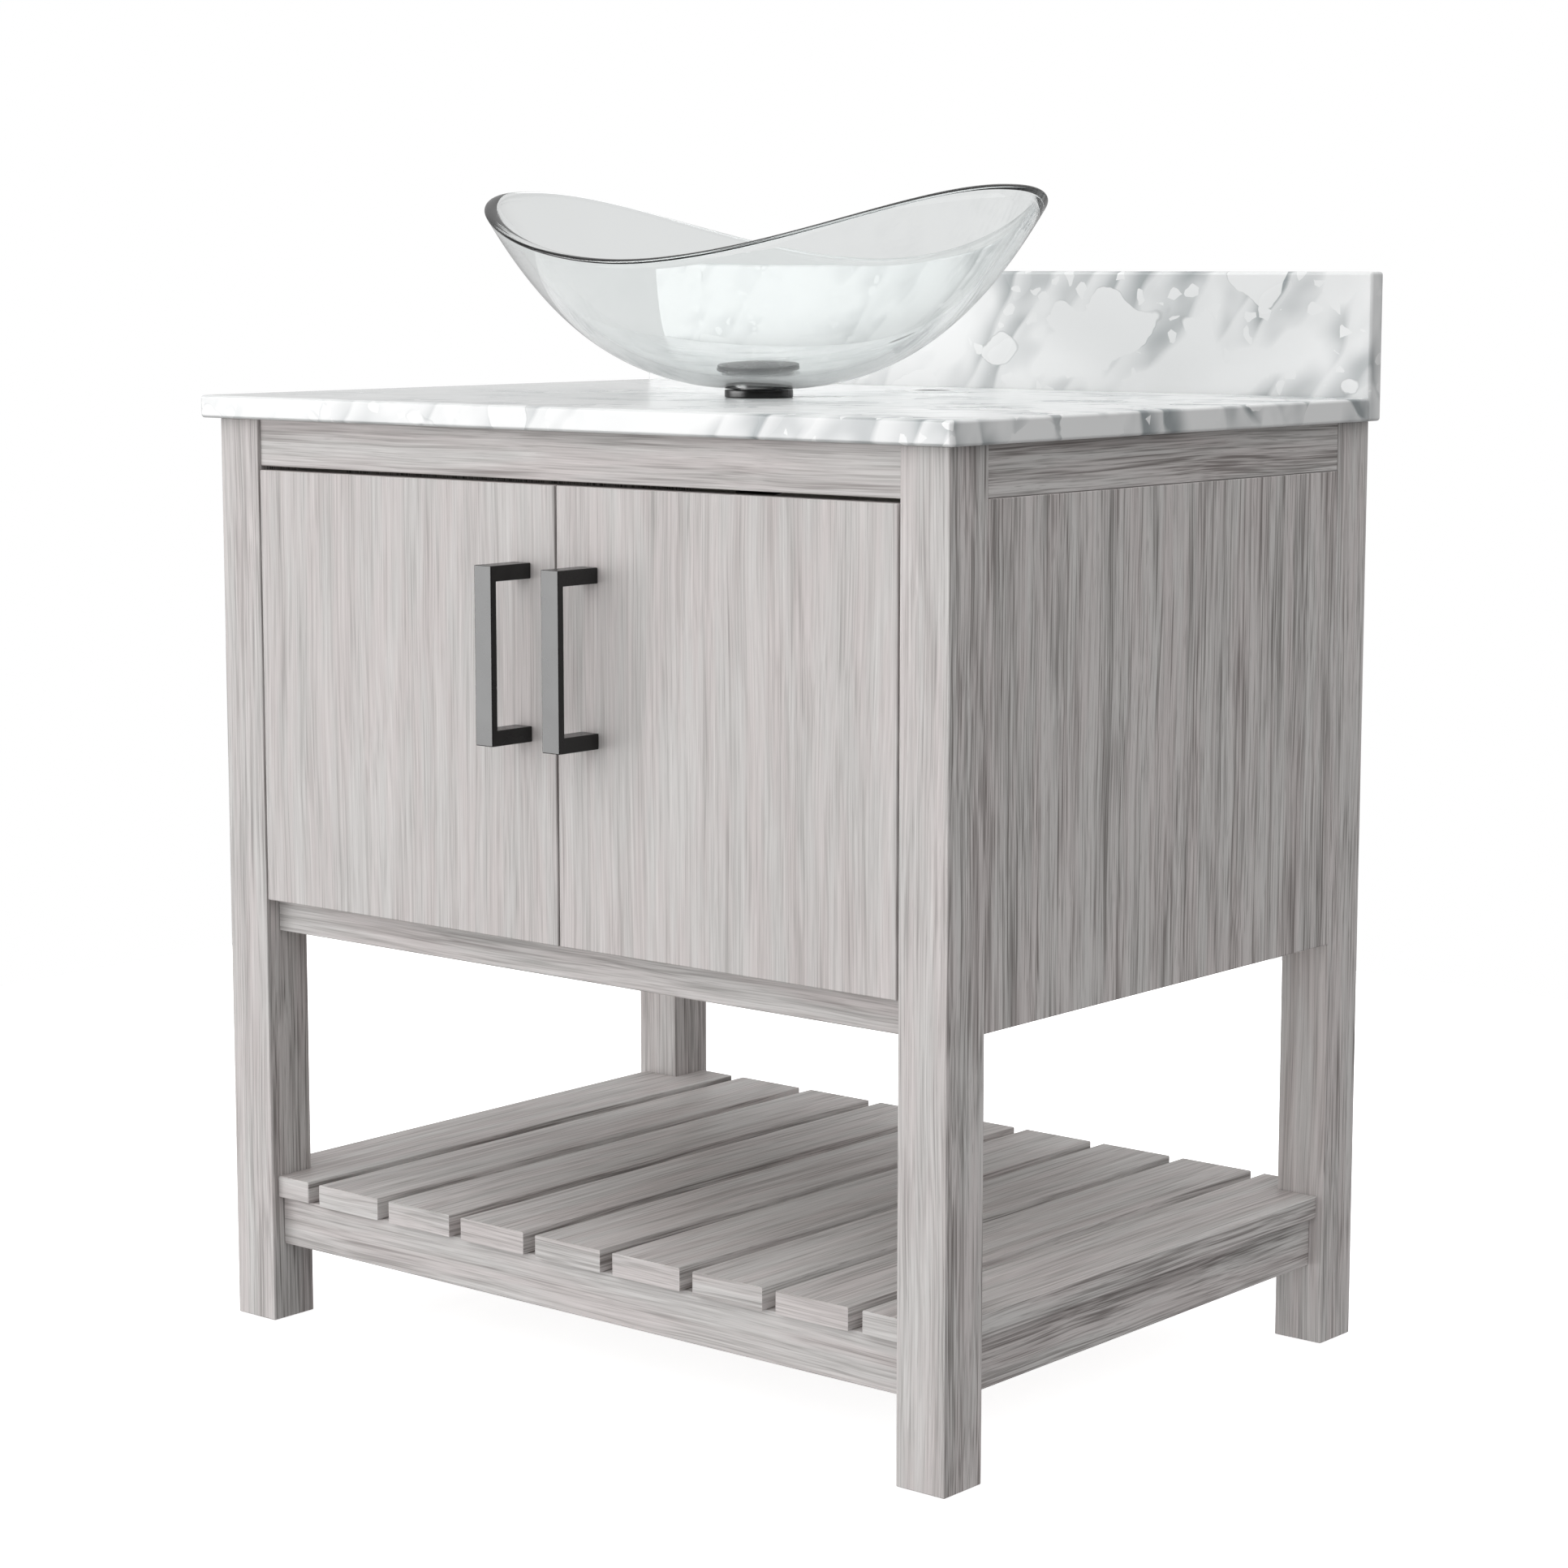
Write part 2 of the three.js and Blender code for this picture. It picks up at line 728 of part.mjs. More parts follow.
// A ring of rectangular section.
function ring(inner, outer, z0, z1) {
  return turned([
    [inner, z0],
    [outer, z0],
    [outer, z1],
    [inner, z1],
    [inner, z0],
  ]);
}

// The body hangs from its flange, and a hub on four spokes inside it guides the cap's stem.
function addDrainBody() {
  const tube = turned([
    [drainBoreRadius, drainBodyBottom],
    [drainBodyRadius, drainBodyBottom],
    [drainBodyRadius, flangeBottom],
    [flangeRadius, flangeBottom],
    [flangeRadius, flangeTop],
    [drainBoreRadius, flangeTop],
    [drainBoreRadius, drainBodyBottom],
  ]);
  const hubTop = flangeTop - hubDepth;
  const hubMiddle = hubTop - hubHeight / 2;
  const spokeLength = 2 * drainBoreRadius + 1;
  const hubRadius = guideRadius + hubWall;
  const hub = turned([
    [0, hubTop - hubHeight],
    [hubRadius, hubTop - hubHeight],
    [hubRadius, hubTop],
    [0, hubTop],
  ]);
  const spokes = [
    new THREE.BoxGeometry(spokeLength, spokeWidth, hubHeight / 2),
    new THREE.BoxGeometry(spokeWidth, spokeLength, hubHeight / 2),
  ].map((spoke) => spoke.translate(0, 0, hubMiddle));
  const guide = turned([
    [0, hubTop - hubHeight - 1],
    [guideRadius, hubTop - hubHeight - 1],
    [guideRadius, hubTop + 1],
    [0, hubTop + 1],
  ]);
  const body = cutFrom(joined(tube, hub, ...spokes), guide);
  addDrainPiece("drain_body", blackMetal, geometryOf(body));
}

function addDrainNut() {
  const top = slabBottom - joinGap - washerThickness - joinGap;
  const corner = (threadRadius + nutWall) / Math.cos(Math.PI / 6);
  const hexagon = Array.from({ length: 6 }, (_, i) => [
    corner * Math.cos((i * Math.PI) / 3),
    corner * Math.sin((i * Math.PI) / 3),
  ]);
  const outline = shapeOf(hexagon);
  outline.holes.push(roundHole(0, 0, threadRadius));
  addDrainPiece("drain_nut", steel, raised(outline, top - nutThickness, top, 16));
}

// The cap closes the drain and lifts out of it on its stem.
function addPopupCap() {
  const under = flangeTop + capGap;
  const capRadius = flangeRadius - capInset;
  const crown = [0.85, 0.6, 0.3].map((share) => [
    capRadius * share,
    under + capEdge + capCrown * (1 - share ** 2),
  ]);
  const cap = turned([
    [0, under - stemLength],
    [stemRadius, under - stemLength],
    [stemRadius, under],
    [capRadius, under],
    [capRadius, under + capEdge],
    ...crown,
    [0, under + capEdge + capCrown],
  ]);
  addDrainPiece("popup_cap", blackMetal, cap);
}

function addDrain() {
  const washerTop = slabBottom - joinGap;
  const ringTop = bowlBottom - joinGap;
  const tailTop = drainBodyBottom + tailpieceInsert;
  const gasketRadius = flangeRadius - gasketInset;
  const washerRadius = drainHoleRadius + washerOverlap;
  addDrainPiece(
    "mounting_ring",
    blackMetal,
    ring(drainHoleRadius, drainHoleRadius + ringWidth, slabTop + joinGap, ringTop),
  );
  addDrainPiece(
    "flange_gasket",
    rubber,
    ring(threadRadius, gasketRadius, gasketBottom, gasketBottom + gasketThickness),
  );
  addDrainPiece(
    "counter_washer",
    rubber,
    ring(threadRadius, washerRadius, washerTop - washerThickness, washerTop),
  );
  addDrainBody();
  addDrainNut();
  addDrainPiece(
    "tailpiece",
    chrome,
    ring(tailpieceRadius - tailpieceWall, tailpieceRadius, tailTop - tailpieceLength, tailTop),
  );
  addPopupCap();
}

addLegs();
addTopRails();
addBottomRails();
addSidePanels();
addCabinetFloor();
addBackPanel();
addCornerBlocks();
addShelfRails();
addSlats();
addDoors();
addHandles();
addHandleScrews();
addHingeCups();
addHingeCleats();
addHingeArms();
addCountertop();
addBacksplash();
addGlassBowl();
addDrain();

// The handles reach furthest forward and the backsplash furthest back.
vanity.position.y = -(doorFrontY - handleReach + splashBackY) / 2;
const object = new THREE.Group();
object.add(vanity);

export default object;
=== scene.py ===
import json
import math
import random
from functools import partial

import bmesh
import bpy
from mathutils import Matrix, Vector


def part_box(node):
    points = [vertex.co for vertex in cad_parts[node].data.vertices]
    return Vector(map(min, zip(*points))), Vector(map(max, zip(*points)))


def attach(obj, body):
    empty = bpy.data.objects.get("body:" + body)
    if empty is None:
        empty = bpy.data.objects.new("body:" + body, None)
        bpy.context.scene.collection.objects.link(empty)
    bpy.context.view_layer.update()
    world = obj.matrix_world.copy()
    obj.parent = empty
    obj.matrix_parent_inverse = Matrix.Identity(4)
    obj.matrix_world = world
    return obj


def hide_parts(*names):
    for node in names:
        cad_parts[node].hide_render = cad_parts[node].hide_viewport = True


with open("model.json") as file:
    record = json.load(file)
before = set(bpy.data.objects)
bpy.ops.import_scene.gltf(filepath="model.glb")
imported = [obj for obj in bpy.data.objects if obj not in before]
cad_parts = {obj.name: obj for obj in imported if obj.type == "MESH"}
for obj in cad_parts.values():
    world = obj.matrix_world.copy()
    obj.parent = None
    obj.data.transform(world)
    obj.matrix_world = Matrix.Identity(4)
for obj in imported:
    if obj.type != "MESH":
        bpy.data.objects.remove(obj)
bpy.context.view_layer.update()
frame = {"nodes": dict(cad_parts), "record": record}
cadNodes = frame["nodes"]
bodyOfNode = {
    node: body
    for body, members in frame["record"]["behaviour"]["bodies"].items()
    for node in members
}
mm = 0.001
print("frame loaded:", len(cadNodes), "nodes")


def addNode(tree, kind, inputs=None, **settings):
    made = tree.nodes.new(kind)
    for name, value in settings.items():
        setattr(made, name, value)
    for key, value in (inputs or {}).items():
        if isinstance(value, bpy.types.NodeSocket):
            tree.links.new(value, made.inputs[key])
        else:
            made.inputs[key].default_value = value
    return made


def calc(tree, operation, *values):
    made = addNode(tree, "ShaderNodeMath", dict(enumerate(values)), operation=operation)
    return made.outputs[0]


def vectorCalc(tree, operation, *values):
    made = addNode(tree, "ShaderNodeVectorMath", dict(enumerate(values)), operation=operation)
    return made.outputs["Value" if operation == "DOT_PRODUCT" else "Vector"]


def newObject(name, mesh):
    made = bpy.data.objects.new(name, mesh)
    bpy.context.scene.collection.objects.link(made)
    return made


def meshFrom(name, shape):
    mesh = bpy.data.meshes.new(name)
    shape.to_mesh(mesh)
    shape.free()
    return mesh


def smoothOver(mesh, degrees):
    mesh.shade_smooth()
    mesh.set_sharp_from_angle(angle=math.radians(degrees))


# A CAD node's middle in plan, its bottom, its top and half its width.
def middleOf(node):
    low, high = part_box(node)
    middle = (low + high) / 2
    return Vector((middle.x, middle.y, 0)), low.z, high.z, (high.x - low.x) / 2


# Gives a finished piece its finish, its body and the CAD nodes it stands for.
def settle(piece, material, stoodFor=(), body=None):
    piece.data.materials.clear()
    piece.data.materials.append(material)
    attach(piece, body or bodyOfNode[stoodFor[0]])
    if stoodFor:
        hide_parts(*stoodFor)


def newFinish(name, **settings):
    made = bpy.data.materials.new(name)
    made.use_nodes = True
    shader = made.node_tree.nodes["Principled BSDF"]
    for socket, value in settings.items():
        shader.inputs[socket].default_value = value
    return made, made.node_tree, shader


def noiseAt(tree, vector, scale, detail=2.0, roughness=0.5):
    sizes = {"Scale": scale, "Detail": detail, "Roughness": roughness}
    return addNode(tree, "ShaderNodeTexNoise", {"Vector": vector, **sizes})


def stretched(tree, vector, scale):
    places = {"Vector": vector, "Scale": scale}
    return addNode(tree, "ShaderNodeMapping", places).outputs["Vector"]


def ramp(tree, factor, stops):
    made = addNode(tree, "ShaderNodeValToRGB", {"Fac": factor})
    elements = made.color_ramp.elements
    for index, (position, colour) in enumerate(stops):
        stop = elements[index] if index < 2 else elements.new(position)
        stop.position = position
        stop.color = (*colour, 1)
    return made.outputs["Color"]


def grey(value):
    return (value, value, value)


def mixColours(tree, factor, first, second, blend="MIX"):
    made = addNode(tree, "ShaderNodeMix", data_type="RGBA", blend_type=blend)
    sockets = (made.inputs[0], made.inputs[6], made.inputs[7])  # factor, A and B
    for socket, value in zip(sockets, (factor, first, second)):
        if isinstance(value, bpy.types.NodeSocket):
            tree.links.new(value, socket)
        else:
            socket.default_value = (*value, 1) if isinstance(value, tuple) else value
    return made.outputs[2]


def spread(tree, value, low, high, newLow=0.0, newHigh=1.0):
    sizes = {"From Min": low, "From Max": high, "To Min": newLow, "To Max": newHigh}
    return addNode(tree, "ShaderNodeMapRange", {"Value": value, **sizes}).outputs["Result"]


def bumpOn(tree, shader, height, strength, distance):
    sizes = {"Height": height, "Strength": strength, "Distance": distance}
    bump = addNode(tree, "ShaderNodeBump", sizes)
    tree.links.new(bump.outputs["Normal"], shader.inputs["Normal"])


# Joins a finish's colour, roughness and relief (height, strength, depth) to its shader.
def dress(tree, shader, colour, roughness, *relief):
    tree.links.new(colour, shader.inputs["Base Color"])
    tree.links.new(roughness, shader.inputs["Roughness"])
    bumpOn(tree, shader, *relief)


def objectPlaces(tree):
    return addNode(tree, "ShaderNodeTexCoord").outputs["Object"]


# Washed wood: the attribute "grain" holds metres along and across each board's grain, and
# "figure" how strongly the grain shows.
washedWoodLook = {
    "paleWash": (0.67, 0.653, 0.646),
    "midWash": (0.56, 0.541, 0.535),
    "darkGrain": (0.25, 0.234, 0.227),
    "lineWidth": 1.25 * mm,
    "lineLength": 90 * mm,
    "streakWidth": 3.6 * mm,
    "streakLength": 170 * mm,
    "bandWidth": 15 * mm,
    "bandLength": 420 * mm,
    "poreWidth": 0.8 * mm,
    "poreLength": 26 * mm,
    "bandShare": 0.26,
    "streakShare": 0.3,
    "lineShare": 0.44,
    "poreShare": 0.3,
    "wander": 12 * mm,
    "pinkTint": (1.0, 0.962, 0.958),
    "plainTint": (0.99, 0.99, 0.982),
    "grainDepth": 0.15 * mm,
}


def makeWashedWood():
    look = washedWoodLook
    made, tree, shader = newFinish("washedWood", **{"Specular IOR Level": 0.22})
    grain = addNode(tree, "ShaderNodeAttribute", attribute_name="grain").outputs["Vector"]
    figure = addNode(tree, "ShaderNodeAttribute", attribute_name="figure").outputs["Fac"]
    # Grain lines wander a little to each side as they run along the board.
    wander = noiseAt(tree, stretched(tree, grain, (3, 9, 9)), 1.0, 2).outputs["Color"]
    wander = vectorCalc(tree, "SUBTRACT", wander, grey(0.5))
    aside = vectorCalc(tree, "MULTIPLY", wander, (0, look["wander"], look["wander"]))
    lines = vectorCalc(tree, "ADD", grain, aside)

    def streaks(kind):
        width, length = look[f"{kind}Width"], look[f"{kind}Length"]
        places = stretched(tree, lines, (1 / length, 1 / width, 1 / width))
        return noiseAt(tree, places, 1.0, 1, 0.6).outputs["Fac"]

    depth = calc(tree, "MULTIPLY", streaks("band"), look["bandShare"])
    depth = calc(tree, "MULTIPLY_ADD", streaks("streak"), look["streakShare"], depth)
    depth = calc(tree, "MULTIPLY_ADD", streaks("line"), look["lineShare"], depth)
    depth = calc(tree, "MULTIPLY_ADD", calc(tree, "SUBTRACT", depth, 0.5), figure, 0.5)
    between = tuple(0.5 * (a + b) for a, b in zip(look["darkGrain"], look["midWash"]))
    stops = [(0.3, look["darkGrain"]), (0.62, look["paleWash"])]
    stops += [(0.41, between), (0.5, look["midWash"])]
    colour = ramp(tree, depth, stops)
    openPore = calc(tree, "MULTIPLY", spread(tree, streaks("pore"), 0.60, 0.74), figure)
    pitted = calc(tree, "MULTIPLY", openPore, look["poreShare"])
    colour = mixColours(tree, pitted, colour, look["darkGrain"])
    # The wash leans a little to pink in places.
    lean = noiseAt(tree, stretched(tree, grain, (6, 60, 60)), 1.0, 2).outputs["Fac"]
    tint = ramp(tree, lean, [(0.38, look["pinkTint"]), (0.62, look["plainTint"])])
    colour = mixColours(tree, 1.0, colour, tint, "MULTIPLY")
    roughness = spread(tree, depth, 0.36, 0.6, 0.5, 0.36)
    height = calc(tree, "SUBTRACT", depth, pitted)
    dress(tree, shader, colour, roughness, height, 0.3, look["grainDepth"])
    return made


# Plain board: pale pressed chips.
plainBoardLook = {
    "pale": (0.69, 0.67, 0.64),
    "mid": (0.60, 0.575, 0.545),
    "dark": (0.42, 0.38, 0.34),
    "chipsPerMetre": 420.0,
}


def makePlainBoard():
    look = plainBoardLook
    made, tree, shader = newFinish("plainBoard", **{"Specular IOR Level": 0.3})
    places = objectPlaces(tree)
    drawnOut = stretched(tree, places, (1, 0.45, 1))
    cells = {"Vector": drawnOut, "Scale": look["chipsPerMetre"]}
    chips = addNode(tree, "ShaderNodeTexVoronoi", cells)
    clouds = noiseAt(tree, places, 26.0, 4).outputs["Fac"]
    colour = ramp(tree, clouds, [(0.3, look["mid"]), (0.7, look["pale"])])
    picked = addNode(tree, "ShaderNodeSeparateColor", {0: chips.outputs["Color"]}).outputs[0]
    fleck = spread(tree, picked, 0.2, 1.0, 0.0, 0.14)
    colour = mixColours(tree, fleck, colour, look["dark"])
    roughness = spread(tree, clouds, 0.3, 0.7, 0.62, 0.5)
    dress(tree, shader, colour, roughness, chips.outputs["Distance"], 0.12, 0.1 * mm)
    return made


# Marble: white plates over soft grey folds, which are steep on one side, and small white flakes.
marbleLook = {
    "white": (0.83, 0.836, 0.836),
    "fold": (0.33, 0.355, 0.365),
    "crack": (0.30, 0.315, 0.32),
    "turn": (0.4, -0.75, 0.5),
    "foldSpacing": 26 * mm,
    "foldStretch": (1, 1, 0.4),
    "foldStrength": 0.7,
    "cloudSize": 55 * mm,
    "plateSize": 85 * mm,
    "flakeSize": 10.5 * mm,
    "plainEnd": -0.45,  # x, in metres, where the folds are faint
    "busyEnd": 0.36,
    "leastFolds": 0.35,
    "mostFolds": 1.4,
    "plateAmount": 0.61,  # more plates with a lower value
    "flakeAmount": 0.83,
    "crackStrength": 0.4,
    # painted shade for the drilled walls of the holes
    "sawn": (0.05, 0.052, 0.053),
}


waveBands = 3.18  # bands in one unit of a wave pattern at scale 1


def pulledAbout(tree, vector, scale, amount, detail=2.0):
    pull = noiseAt(tree, vector, scale, detail).outputs["Color"]
    aside = vectorCalc(tree, "SUBTRACT", pull, grey(0.5))
    return vectorCalc(tree, "ADD", vector, vectorCalc(tree, "MULTIPLY", aside, grey(amount)))


def makeMarble():
    look = marbleLook
    made, tree, shader = newFinish("marble", **{"Specular IOR Level": 0.4})
    where = objectPlaces(tree)
    endToEnd = addNode(tree, "ShaderNodeSeparateXYZ", {0: where}).outputs["X"]
    amounts = (look["leastFolds"], look["mostFolds"])
    busy = spread(tree, endToEnd, look["plainEnd"], look["busyEnd"], *amounts)
    turned = addNode(tree, "ShaderNodeMapping", {"Vector": where, "Rotation": look["turn"]})
    places = turned.outputs["Vector"]
    folds = addNode(
        tree,
        "ShaderNodeTexWave",
        {
            "Vector": stretched(tree, places, look["foldStretch"]),
            "Scale": 1 / (look["foldSpacing"] * waveBands),
            "Distortion": 6.0,
            "Detail": 2.0,
            "Detail Scale": 1.3,
            "Detail Roughness": 0.45,
        },
        wave_profile="SAW",
    ).outputs["Fac"]
    drawnOut = stretched(tree, pulledAbout(tree, places, 9.0, 0.05), (1, 1, 0.6))
    cloud = noiseAt(tree, drawnOut, 1 / look["cloudSize"], 2, 0.5).outputs["Fac"]
    thick = spread(tree, cloud, 0.42, 0.66)
    rising = spread(tree, folds, 0.1, 0.85)
    falling = spread(tree, folds, 0.86, 0.99, 1.0, 0.0)
    shadow = calc(tree, "MULTIPLY", thick, calc(tree, "MULTIPLY", rising, falling))
    shadow = calc(tree, "MULTIPLY_ADD", thick, 0.25, shadow)
    shadow = calc(tree, "MULTIPLY", shadow, busy)
    shadow = calc(tree, "MULTIPLY", shadow, look["foldStrength"])
    colour = mixColours(tree, shadow, look["white"], look["fold"])
    # White plates lie over the folds, with a thin dark line at part of their edges.
    torn = pulledAbout(tree, places, 45.0, 0.010)
    plate = noiseAt(tree, torn, 1 / look["plateSize"], 1).outputs["Fac"]
    edge = look["plateAmount"]
    over = spread(tree, plate, edge, edge + 0.007)
    colour = mixColours(tree, over, colour, look["white"])
    fromEdge = calc(tree, "ABSOLUTE", calc(tree, "SUBTRACT", plate, edge + 0.002))
    nearEdge = spread(tree, fromEdge, 0.0, 0.004, 1.0, 0.0)
    crack = calc(tree, "MULTIPLY", nearEdge, spread(tree, cloud, 0.5, 0.58))
    shade = calc(tree, "MULTIPLY", crack, look["crackStrength"])
    colour = mixColours(tree, shade, colour, look["crack"])
    # Flakes are the cells of a cracked pattern, a few of them whitened.
    cells = {"Vector": torn, "Scale": 1 / look["flakeSize"]}
    whole = addNode(tree, "ShaderNodeTexVoronoi", cells).outputs["Color"]
    rim = addNode(tree, "ShaderNodeTexVoronoi", cells, feature="DISTANCE_TO_EDGE")
    picked = addNode(tree, "ShaderNodeSeparateColor", {0: whole}).outputs[0]
    chosen = spread(tree, picked, look["flakeAmount"], look["flakeAmount"] + 0.01)
    flake = calc(tree, "MULTIPLY", chosen, spread(tree, rim.outputs["Distance"], 0.08, 0.12))
    colour = mixColours(tree, flake, colour, look["white"])
    # The drilled walls of the holes get painted shade, a near-black colour, and a rougher finish.
    sawn = addNode(tree, "ShaderNodeAttribute", attribute_name="sawn").outputs["Fac"]
    colour = mixColours(tree, sawn, colour, look["sawn"])
    polish = spread(tree, cloud, 0.3, 0.7, 0.2, 0.28)
    roughness = calc(tree, "MULTIPLY_ADD", sawn, 0.5, polish)
    dress(tree, shader, colour, roughness, crack, 0.15, 0.05 * mm)
    return made


clearGlassLook = {
    "tint": (0.968, 0.986, 0.984),
    "index": 1.46,
    "shadow": (0.93, 0.95, 0.95, 1),
}


def makeClearGlass():
    look = clearGlassLook
    settings = {"IOR": look["index"], "Transmission Weight": 1.0}
    made, tree, shader = newFinish("clearGlass", **settings)
    places = objectPlaces(tree)
    film = noiseAt(tree, places, 14.0, 3).outputs["Fac"]
    tint = ramp(tree, film, [(0.3, look["tint"]), (0.7, tuple(c * 0.99 for c in look["tint"]))])
    tree.links.new(tint, shader.inputs["Base Color"])
    tree.links.new(spread(tree, film, 0.3, 0.75, 0.0, 0.03), shader.inputs["Roughness"])
    # Lamps reach what stands behind the glass.
    through = addNode(tree, "ShaderNodeBsdfTransparent", {"Color": look["shadow"]})
    rays = addNode(tree, "ShaderNodeLightPath")
    both = addNode(tree, "ShaderNodeMixShader", {0: rays.outputs["Is Shadow Ray"]})
    tree.links.new(shader.outputs[0], both.inputs[1])
    tree.links.new(through.outputs[0], both.inputs[2])
    tree.links.new(both.outputs[0], tree.nodes["Material Output"].inputs["Surface"])
    return made


def makeBlackMetal():
    made, tree, shader = newFinish("blackMetal", **{"Metallic": 0.0, "IOR": 1.5})
    places = objectPlaces(tree)
    coat = noiseAt(tree, places, 700.0, 2).outputs["Fac"]
    wide = noiseAt(tree, places, 30.0, 3).outputs["Fac"]
    shade = ramp(tree, wide, [(0.3, grey(0.003)), (0.7, grey(0.006))])
    roughness = spread(tree, wide, 0.3, 0.7, 0.24, 0.30)
    dress(tree, shader, shade, roughness, coat, 0.06, 0.05 * mm)
    return made


def makeSteel(name, colour, lowRoughness, highRoughness):
    made, tree, shader = newFinish(name, Metallic=1.0)
    places = objectPlaces(tree)
    marks = noiseAt(tree, stretched(tree, places, (1, 1, 0.08)), 900.0, 3).outputs["Fac"]
    wide = noiseAt(tree, places, 60.0, 3).outputs["Fac"]
    dull = tuple(c * 0.86 for c in colour)
    shade = ramp(tree, wide, [(0.3, dull), (0.7, colour)])
    polish = spread(tree, marks, 0.3, 0.7, lowRoughness, highRoughness)
    dress(tree, shader, shade, polish, marks, 0.05, 0.03 * mm)
    return made


def makeRubber():
    made, tree, shader = newFinish("rubber", **{"Specular IOR Level": 0.25})
    places = objectPlaces(tree)
    skin = noiseAt(tree, places, 500.0, 3).outputs["Fac"]
    shade = ramp(tree, skin, [(0.3, grey(0.012)), (0.7, grey(0.026))])
    dress(tree, shader, shade, spread(tree, skin, 0.3, 0.7, 0.7, 0.85), skin, 0.2, 0.08 * mm)
    return made


washedWood = makeWashedWood()
plainBoard = makePlainBoard()
marble = makeMarble()
clearGlass = makeClearGlass()
blackMetal = makeBlackMetal()
zincSteel = makeSteel("zincSteel", (0.62, 0.63, 0.65), 0.24, 0.36)
chrome = makeSteel("chrome", (0.80, 0.81, 0.82), 0.05, 0.10)
rubber = makeRubber()
print("finishes made")


# A copy of a CAD node's mesh whose long edges are eased.
def easedCopy(node, sizes):
    shape = bmesh.new()
    shape.from_mesh(cadNodes[node].data)
    bmesh.ops.remove_doubles(shape, verts=shape.verts, dist=2e-6)
    bmesh.ops.dissolve_limit(shape, angle_limit=math.radians(1), verts=shape.verts, edges=shape.edges)
    sharp = [
        edge
        for edge in shape.edges
        if edge.is_manifold
        and edge.calc_face_angle() > math.radians(30)
        and edge.calc_length() > sizes["shortestEased"]
    ]
    bmesh.ops.bevel(
        shape,
        geom=sharp,
        offset=sizes["ease"],
        segments=sizes["segments"],
        profile=0.5,
        affect="EDGES",
        clamp_overlap=True,
    )
    return meshFrom(node, shape)


boardFigure = {"side": 1.6, "front": 0.85, "door": 0.6}  # how strongly the grain shows


# Writes where each corner of a board lies along and across its grain. The ends of a board
# show their lines along endAxis, and every board starts at another place in the pattern.
def layGrain(mesh, alongAxis, endAxis, seed, kind, pieceSize=None):
    draw = random.Random(seed)
    shifts = {}
    mesh.attributes.new("grain", "FLOAT_VECTOR", "CORNER")
    mesh.attributes.new("figure", "FLOAT", "CORNER")
    grain, figure = mesh.attributes["grain"], mesh.attributes["figure"]
    for face in mesh.polygons:
        key = round(face.center.x / pieceSize) if pieceSize else 0  # which board of a row
        if key not in shifts:
            shifts[key] = [draw.uniform(-9, 9) for _ in range(3)]
        along = endAxis if abs(face.normal[alongAxis]) > 0.8 else alongAxis
        across = [axis for axis in range(3) if axis != along]
        shift = shifts[key]
        strength = boardFigure["side" if abs(face.normal.x) > 0.8 else kind]
        for loop in face.loop_indices:
            place = mesh.vertices[mesh.loops[loop].vertex_index].co
            grain.data[loop].vector = (
                place[along] + shift[0],
                place[across[0]] + shift[1],
                place[across[1]] + shift[2],
            )
            figure.data[loop].value = strength


boardSizes = {"ease": 0.9 * mm, "segments": 2, "shortestEased": 12 * mm}
hiddenBoardSizes = {"ease": 0.5 * mm, "segments": 1, "shortestEased": 5 * mm}
alongX, alongY, alongZ = 0, 1, 2
ends, sides = ("front", "rear"), ("left", "right")


def addBoards():
    boards = [(f"leg_{end}_{side}", alongZ, alongX) for end in ends for side in sides]
    for rail in ("top_rail", "bottom_rail", "shelf_rail"):
        boards += [(f"{rail}_{end}", alongX, alongY) for end in ends]
    for rail in ("top_rail", "shelf_rail"):
        boards += [(f"{rail}_{side}", alongY, alongX) for side in sides]
    boards += [(f"side_panel_{side}", alongZ, alongY) for side in sides]
    boards += [(f"door_{side}", alongZ, alongX) for side in sides]
    boards += [(f"shelf_slat_{number}", alongY, alongX) for number in (1, 9)]
    for seed, (node, along, end) in enumerate(boards):
        mesh = easedCopy(node, boardSizes)
        layGrain(mesh, along, end, seed, "door" if "door" in node else "front")
        settle(newObject(f"{node}_board", mesh), washedWood, (node,))


def addHiddenBoards():
    plain = ["cabinet_floor", "back_panel", "hinge_cleat_left", "hinge_cleat_right"]
    plain += [f"corner_block_{end}_{side}" for end in ends for side in sides]
    for node in plain:
        mesh = easedCopy(node, hiddenBoardSizes)
        settle(newObject(f"{node}_board", mesh), plainBoard, (node,))


addBoards()
addHiddenBoards()
print("boards made")


def newTree(name, inputs):
    tree = bpy.data.node_groups.new(name, "GeometryNodeTree")
    tree.interface.new_socket("Geometry", in_out="INPUT", socket_type="NodeSocketGeometry")
    tree.interface.new_socket("Geometry", in_out="OUTPUT", socket_type="NodeSocketGeometry")
    for label, kind in inputs:
        tree.interface.new_socket(label, in_out="INPUT", socket_type=f"NodeSocket{kind}")
    given, output = tree.nodes.new("NodeGroupInput"), tree.nodes.new("NodeGroupOutput")
    return tree, given.outputs, output.inputs[0]


def geometry(tree, kind, inputs):
    return addNode(tree, f"GeometryNode{kind}", inputs).outputs[0]


